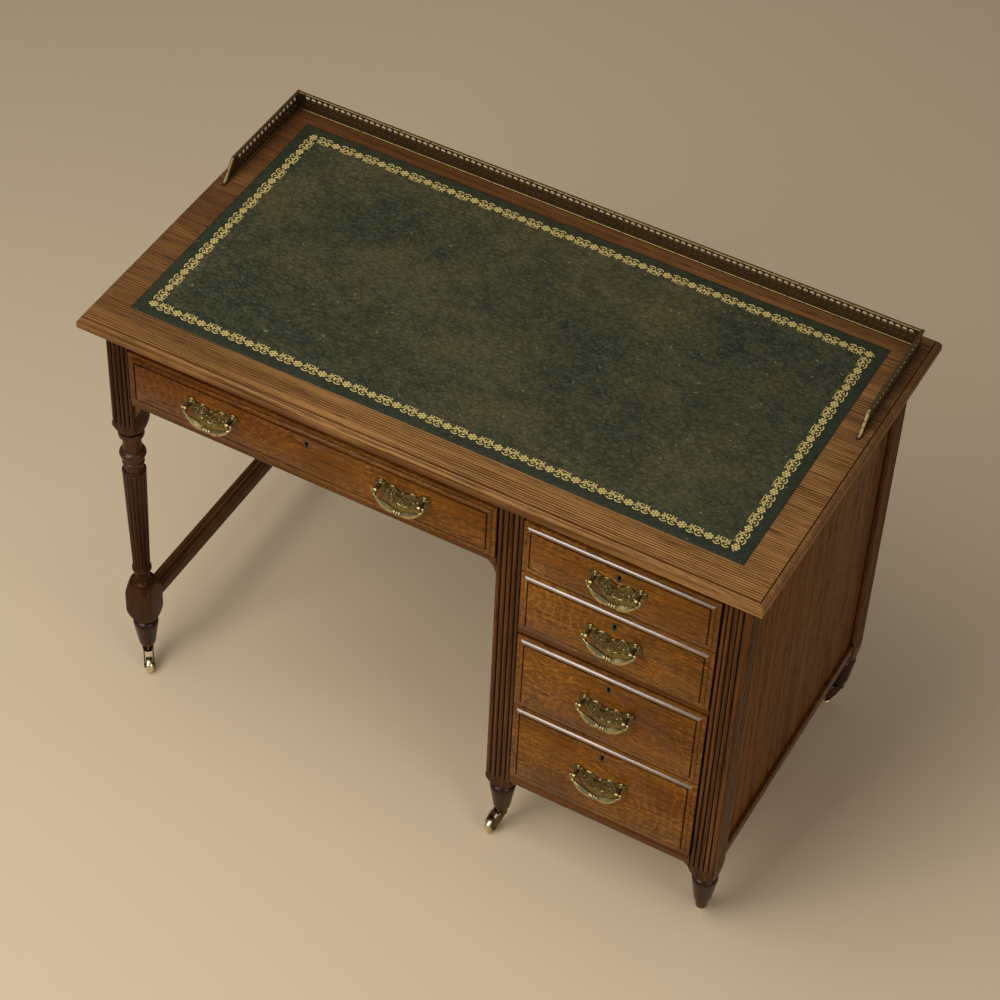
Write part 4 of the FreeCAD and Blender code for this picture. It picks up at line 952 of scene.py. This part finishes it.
# Relief: middle, start, turns, outer and inner radius of the scrolls of one half; height and width of ridges
SCROLLS = (
    (14.5, 2.5, 250, 1.5, 6.4, 1.0),
    (24.5, -4.5, 100, -1.4, 5.4, 1.0),
    (9.5, -11.5, 330, 1.3, 4.6, 0.9),
    (17.5, -9.5, 30, 1.2, 3.4, 0.8),
)
SCROLL_STEPS = 26
LEAF_FOOT = -17
LEAF_LEANS = (0, 24, 50, 78)
LEAF_STEPS = (3, 6, 9, 11)
EDGE_INSET = 1.0
TOP_EDGE_RIDGE = (0.8, 0.7)
FOOT_EDGE_RIDGE = (0.7, 0.8)
RIM_RIDGE = (1.0, 0.8)
LINE_RIDGE = (1.1, 0.9)
SKIRT_BLEND = 2
SKIRT_SINK = 0.5


def spiral(x, z, start, turns, outer, inner):
    points = []
    for index in range(SCROLL_STEPS + 1):
        share = index / SCROLL_STEPS
        turn = radians(start) + 2 * pi * turns * share
        radius = outer + (inner - outer) * share
        points.append((x + radius * cos(turn), z + radius * sin(turn)))
    return points


def raised_points():
    """Points of the raised lines of one half: the scrolls and the ribs of the middle leaf."""
    points = [point for scroll in SCROLLS for point in spiral(*scroll)]
    for lean in LEAF_LEANS:
        turn = radians(lean)
        points += [(reach * sin(turn), LEAF_FOOT + reach * cos(turn)) for reach in LEAF_STEPS]
    return points


def ridge(distance, height, width):
    return height * exp(-(distance / width) ** 2)


def relief(x, z, points):
    """Height of the stamped pattern at a point of the plate."""
    nearest = min(hypot(px - abs(x), pz - z) for px, pz in points)
    above = z - plate_curve(x, *RIM_CURVE)
    lines = ridge(plate_top(x) - z - EDGE_INSET, *TOP_EDGE_RIDGE)
    lines += ridge(above, *RIM_RIDGE)
    lines += ridge(z - plate_curve(x, *FOOT_CURVE) - EDGE_INSET, *FOOT_EDGE_RIDGE)
    skirt = ease(-above / SKIRT_BLEND)
    return lines + ridge(nearest, *LINE_RIDGE) * (1 - skirt) - SKIRT_SINK * skirt


def plate_mesh(build):
    points = raised_points()
    columns = []
    for step in range(PLATE_COLUMNS + 1):
        x = PLATE_HALF * (2 * step / PLATE_COLUMNS - 1)
        foot = plate_curve(x, *FOOT_CURVE)
        top = plate_top(x)
        column = [build.verts.new((x * MM, 0, foot * MM))]
        for index in range(PLATE_ROWS + 1):
            z = foot + (top - foot) * index / PLATE_ROWS
            edge = min(z - foot, top - z)
            high = (PLATE_BODY + relief(x, z, points)) * ease(PLATE_EDGE_START + edge / PLATE_EDGE_WIDTH)
            column.append(build.verts.new((x * MM, -high * MM, z * MM)))
        column.append(build.verts.new((x * MM, 0, top * MM)))
        columns.append(column)
    for left, right in zip(columns, columns[1:]):
        for index in range(len(left) - 1):
            build.faces.new((left[index], right[index], right[index + 1], left[index + 1]))


# Posts of the handles: ringed disc, ribbed stem and bored eye, in millimetres
PIVOT_SPAN = 34.5
PIVOT_RISE = 6.0
STANDOFF = 15.0
DISC_STEPS = (
    (9.0, 0.0), (9.4, 0.8), (9.4, 1.7), (8.9, 2.3), (8.1, 2.3), (7.6, 1.8), (6.6, 1.9), (5.9, 2.9),
    (5.2, 3.2), (4.5, 3.0), (4.1, 3.4),
)
STEM_RADIUS = 2.4
STEM_RIBS = 4
STEM_START = 4.2
RIB_PITCH = 2.1
RIB_STEPS = ((0.0, 0.0), (0.9, 0.5), (0.9, 1.1), (0.0, 1.6))
POST_SIDES = 36
EYE_RADIUS = 4.2
EYE_BORE = 1.96
EYE_HALF = 2.5
EYE_ROUND = 0.5


def post_mesh(build, x):
    centre = Vector((x * MM, 0, PIVOT_RISE * MM))
    steps = list(DISC_STEPS)
    for index in range(STEM_RIBS):
        start = STEM_START + RIB_PITCH * index
        steps += [(STEM_RADIUS + rise, start + run) for rise, run in RIB_STEPS]
    lathe(build, steps, centre, FORWARD, RIGHT, POST_SIDES)
    eye_mesh(build, centre + FORWARD * STANDOFF * MM)


def eye_mesh(build, centre):
    """Short barrel across the pivot line with a hole for the bail's pin."""
    cheek = ((EYE_BORE, EYE_HALF), (EYE_RADIUS - EYE_ROUND, EYE_HALF), (EYE_RADIUS, EYE_HALF - EYE_ROUND))
    steps = [(radius, -across) for radius, across in cheek] + list(reversed(cheek))
    bored(build, steps, centre, RIGHT, INWARD)


def handle_template():
    build = bmesh.new()
    plate_mesh(build)
    for side in (-1, 1):
        post_mesh(build, side * PIVOT_SPAN)
    return mesh_of("handle_plate", outward(build))


# Bails: two leaf-shaped arms, a knop of three rings, collars and thin necks, in millimetres
BAIL_SPAN = 40.0
BAIL_DROP = 27.5
BAIL_CORNER = 16.0
BAIL_STEPS = 150
BAIL_SIDES = 24
BAIL_KNUCKLE = 2.6
KNUCKLE_TURNS = range(10, 130, 15)
BAIL_PIN = 1.9
BAIL_PIN_START = 2.0
BAIL_PIN_END = 32.0
KNOP_HALF = 6.0
KNOP_CRESTS = (3.7, 4.3, 3.7)
ARM_END = 38.0
ARM_CORE = 2.3
LEAF_GAIN = 5.2
LEAF_START_POWER = 0.6
LEAF_END_POWER = 1.2
LEAF_SWELL = 1.4
LEAF_LIMIT = 2.7
FLUTES = 6
FLUTE_DEPTH = 0.09
NECK_RADIUS = 1.75
COLLARS = (39.0, 41.4, 43.4)
COLLAR_RIDGE = (1.0, 0.7)

# The bow is a wide arc between two corner arcs
BOW_X = BAIL_SPAN - BAIL_CORNER
BOW_RADIUS = (BOW_X ** 2 + BAIL_DROP ** 2 - BAIL_CORNER ** 2) / (2 * (BAIL_DROP - BAIL_CORNER))
BOW_RISE = BOW_RADIUS - BAIL_DROP
BOW_TILT = atan2(-BOW_RISE, BOW_X)
BOW_LENGTH = BOW_RADIUS * (BOW_TILT + pi / 2)
BAIL_HALF_LENGTH = BOW_LENGTH - BAIL_CORNER * BOW_TILT


def bail_point(distance):
    """Point of the bow and the way out of it, at a distance along it from the middle."""
    side = 1 if distance >= 0 else -1
    run = abs(distance)
    if run <= BOW_LENGTH:
        turn = -pi / 2 + run / BOW_RADIUS
        x, z = BOW_RADIUS * cos(turn), BOW_RISE + BOW_RADIUS * sin(turn)
    else:
        turn = BOW_TILT + (run - BOW_LENGTH) / BAIL_CORNER
        x, z = BOW_X + BAIL_CORNER * cos(turn), BAIL_CORNER * sin(turn)
    return Vector((side * x, 0, z)), Vector((side * cos(turn), 0, sin(turn)))


def bail_radius(distance, around):
    run = abs(distance)
    if run < KNOP_HALF:
        return knop_radius(distance + KNOP_HALF)
    if run < ARM_END:
        share = (run - KNOP_HALF) / (ARM_END - KNOP_HALF)
        leaf = LEAF_GAIN * share ** LEAF_START_POWER * (1 - share) ** LEAF_END_POWER
        flute = 1 + FLUTE_DEPTH * cos(FLUTES * around) * min(1.0, leaf)
        return (ARM_CORE + min(LEAF_LIMIT, LEAF_SWELL * leaf)) * flute
    collar = max(ridge(run - at, *COLLAR_RIDGE) for at in COLLARS)
    return NECK_RADIUS + collar


def knop_radius(run):
    ring = 2 * KNOP_HALF / len(KNOP_CRESTS)
    index = min(len(KNOP_CRESTS) - 1, int(run / ring))
    across = (run - (index + 0.5) * ring) / (ring / 2)
    return ARM_CORE + (KNOP_CRESTS[index] - ARM_CORE) * sqrt(max(0.0, 1 - across * across))


def bail_template():
    build = bmesh.new()
    rings = []
    for step in range(BAIL_STEPS + 1):
        distance = BAIL_HALF_LENGTH * (2 * step / BAIL_STEPS - 1)
        centre, out = bail_point(distance)
        radii = [bail_radius(distance, 2 * pi * i / BAIL_SIDES) * MM for i in range(BAIL_SIDES)]
        rings.append(tube_ring(build, centre * MM, out, INWARD, radii))
    capped(build, rings)
    turns = [radians(turn) for turn in KNUCKLE_TURNS]
    steps = [(BAIL_KNUCKLE * sin(turn), -BAIL_KNUCKLE * cos(turn)) for turn in turns]
    steps += [(BAIL_PIN, BAIL_PIN_START), (BAIL_PIN, BAIL_SPAN - BAIL_PIN_END)]
    for side in (-1, 1):
        lathe(build, steps, RIGHT * (side * BAIL_SPAN * MM), RIGHT * -side, UP)
    return mesh_of("bail", outward(build))


def stamped(mesh, places):
    """Copies of a template mesh at some places, in one bmesh."""
    build = bmesh.new()
    for place in places:
        add_stamp(build, mesh, Matrix.Translation(place))
    return build


def bail_pivot(handle):
    low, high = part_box(handle + "_bail")
    return Vector(((low.x + high.x) / 2, (low.y + high.y) / 2, high.z - BAIL_KNUCKLE * MM))


def handles(plate_metal, bail_metal):
    plate = handle_template()
    bow = bail_template()
    for drawer in DRAWERS:
        places = []
        for handle, holder in HANDLES.items():
            if holder == drawer:
                pivot = bail_pivot(handle)
                places.append(Vector((pivot.x, FIELD_Y, pivot.z - PIVOT_RISE * MM)))
                hung = stamped(bow, [pivot])
                stand_in(handle + "_bail", handle + "_bow", hung, bail_metal, handle + "_handle")
        stand_in(drawer + "_fittings", drawer + "_plates", stamped(plate, places), plate_metal, drawer)
    bpy.data.meshes.remove(plate)
    bpy.data.meshes.remove(bow)


# Key linings and lock cases, in millimetres
KEY_DROP = 28.0
LINING_RADIUS = 4.2
LINING_STRAIGHT = 7.0
LINING_DEPTH = 4.0
LINING_PROUD = 0.3
LINING_EDGE = 0.4
OVAL_STEPS = 12
KEY_RADIUS = 2.6
KEY_SLOT = 1.4
KEY_SLOT_DROP = 7.0
KEY_STEPS = 16
LOCK_HALF = 22.0
LOCK_DEEP = 9.0
LOCK_BELOW_KEY = 16.0
LOCK_EDGE = 0.15
FRONT_LIP = 8.0
BOLT_HALF = 8.2
BOLT_DEEP = 1.9
BOLT_HEIGHT = 14.4
SCREW_STEPS = ((1.9, -0.4), (1.9, 0.1), (1.2, 0.5))
SCREW_SIDES = 16
SCREW_INSET = 4
SCREW_DROP = 18


def oval(radius, straight):
    points = []
    for start, z in ((0, straight / 2), (pi, -straight / 2)):
        for index in range(OVAL_STEPS + 1):
            turn = start + pi * index / OVAL_STEPS
            points.append((radius * cos(turn), z + radius * sin(turn)))
    return points


def key_outline():
    high = LINING_STRAIGHT / 2
    start = asin(KEY_SLOT / KEY_RADIUS)
    points = [(-KEY_SLOT, high - KEY_SLOT_DROP), (KEY_SLOT, high - KEY_SLOT_DROP)]
    for index in range(KEY_STEPS + 1):
        turn = -pi / 2 + start + (2 * pi - 2 * start) * index / KEY_STEPS
        points.append((KEY_RADIUS * cos(turn), high + KEY_RADIUS * sin(turn)))
    return points


def linings(material):
    outlines = in_metres([oval(LINING_RADIUS, LINING_STRAIGHT), key_outline()])
    mesh = flat_cut("lining", outlines, LINING_DEPTH * MM, LINING_EDGE * MM)
    y = FIELD_Y + (LINING_DEPTH / 2 - LINING_PROUD) * MM
    upright = Matrix.Rotation(pi / 2, 4, "X")
    for drawer in DRAWERS:
        low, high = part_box(drawer + "_front")
        build = bmesh.new()
        middle = Vector(((low.x + high.x) / 2, y, high.z - KEY_DROP * MM))
        add_stamp(build, mesh, Matrix.Translation(middle) @ upright)
        piece(drawer + "_lining", outward(build), material, drawer)
    bpy.data.meshes.remove(mesh)


def lock_cases(material):
    """Case with a slot in its top for the bolt, and four screw heads on its cap."""
    outline = rectangle(LOCK_HALF, LOCK_DEEP / 2)
    slot = rectangle(BOLT_HALF, BOLT_DEEP)
    for drawer in DRAWERS:
        low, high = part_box(drawer + "_front")
        x = (low.x + high.x) / 2
        top = high.z - FRONT_LIP * MM
        step = top - BOLT_HEIGHT * MM
        foot = high.z - (KEY_DROP + LOCK_BELOW_KEY) * MM
        build = bmesh.new()
        for outlines, base, tip in (([outline, slot], step, top), ([outline], foot, step)):
            mesh = flat_cut("case", in_metres(outlines), tip - base, LOCK_EDGE * MM)
            lift = Vector((x, high.y - LOCK_DEEP / 2 * MM, (base + tip) / 2))
            add_stamp(build, mesh, Matrix.Translation(lift))
            bpy.data.meshes.remove(mesh)
        for side in (-1, 1):
            for z in (foot + SCREW_INSET * MM, top - SCREW_DROP * MM):
                at = Vector((x + side * (LOCK_HALF - SCREW_INSET) * MM, high.y, z))
                lathe(build, SCREW_STEPS, at, INWARD, RIGHT, SCREW_SIDES)
        piece(drawer + "_lock", outward(build), material, drawer)


# Castor wheels: crowned tread, dished cheeks and a boss round the axle, in millimetres
WHEEL_RADIUS = 13.0
WHEEL_SIDES = 48
WHEEL_CHEEK = (
    (2.26, 5.3), (4.5, 5.3), (5.0, 4.9), (5.4, 4.1), (9.5, 4.1), (10.0, 4.8), (10.7, 5.2), (11.6, 4.9),
    (12.4, 3.6), (12.85, 1.9),
)


def castor_wheels(material):
    far_cheek = [(radius, -across) for radius, across in reversed(WHEEL_CHEEK)]
    profile = [*WHEEL_CHEEK, (WHEEL_RADIUS, 0.0), *far_cheek]
    for stand in STANDS:
        joint = JOINTS[stand + "_castor_roll"]
        build = bmesh.new()
        bored(build, profile, Vector(joint["pos_m"]), Vector(joint["axis"]), UP, WHEEL_SIDES)
        name = stand + "_castor_wheel"
        stand_in(name, name + "_turned", outward(build), material, stand + "_roller")


# Pieces of the solids' own shape that have two finishes: where the second finish lies
TOE_TOP = 105.5 * MM
HEAD_LOW = 434.0 * MM
HEAD_HIGH = 519.0 * MM
SHALLOW = sin(radians(4))
STEEP = cos(radians(4))


def two_finishes(node, first, second, has_second):
    """The CAD node's own shape, with a second finish on some of its faces."""
    made = softened(node, EASED_EDGE, MATERIALS[first])
    made.data.materials.append(MATERIALS[second])
    for face in made.data.polygons:
        face.material_index = int(has_second(face))


def drawer_fronts():
    """Fronts; those of the pedestal have a bright polish on their top mouldings."""
    def slanting(face):
        return -STEEP < face.normal.y < -SHALLOW and face.normal.z > SHALLOW

    for drawer in DRAWERS:
        in_pedestal = drawer in PEDESTAL_DRAWERS
        two_finishes(drawer + "_front", "oak_front", "oak_bead", lambda face: in_pedestal and slanting(face))


def uprights():
    """Legs and posts whose turned heads and toes are polished."""
    def toe(face):
        return face.center.z < TOE_TOP

    def toe_or_head(face):
        return toe(face) or HEAD_LOW < face.center.z < HEAD_HIGH

    for stand in STANDS:
        if stand.startswith("left"):
            two_finishes(stand + "_leg", "oak_leg", "oak_turned", toe_or_head)
        else:
            two_finishes(stand + "_post", "oak_frame", "oak_turned", toe)


def runner_frames():
    """Oak rails that show between the drawers, and bare runners behind them."""
    two_finishes("runner_frames", "drawer_wood", "oak_rail", lambda face: face.center.y < RAIL_BACK)


add_camera()
add_world()
for settings in LAMPS:
    add_lamp(*settings)
add_floor()
bpy.context.scene.view_settings.view_transform = "Standard"

MATERIALS = {name: oak(name, **finish) for name, finish in OAKS.items()}
MATERIALS.update({name: metal(name, *finish) for name, finish in METALS.items()})

# Finish of each CAD node that keeps its shape
FINISHES = {
    "oak_top": ("top_board",),
    "oak_frame": ("corner_brackets",),
    "oak_rail": ("kneehole_rail", "top_front_rails", "frieze_back_panel", "pedestal_bottom_rails"),
    "oak_stretcher": ("leg_stretcher", "left_end_panel"),
    "oak_panel": ("outer_side_panel", "inner_side_panel", "pedestal_back_panel"),
    "drawer_wood": ("pedestal_bottom_board",) + tuple(name + "_box" for name in DRAWERS),
    "castor_brass": ("castor_sockets",) + tuple(name + "_castor_horn" for name in STANDS),
    "lock_steel": tuple(name + "_bolt" for name in DRAWERS),
}
for finish, names in FINISHES.items():
    for name in names:
        softened(name, METAL_EDGE if finish in METALS else EASED_EDGE, MATERIALS[finish])

drawer_fronts()
uprights()
runner_frames()
castor_wheels(MATERIALS["wheel_brass"])
leather_skin(leather())
gold_border(gold())
gallery(MATERIALS["gallery_brass"])
handles(MATERIALS["handle_brass"], MATERIALS["bail_brass"])
linings(MATERIALS["lining_metal"])
lock_cases(MATERIALS["lock_steel"])

bpy.context.view_layer.update()
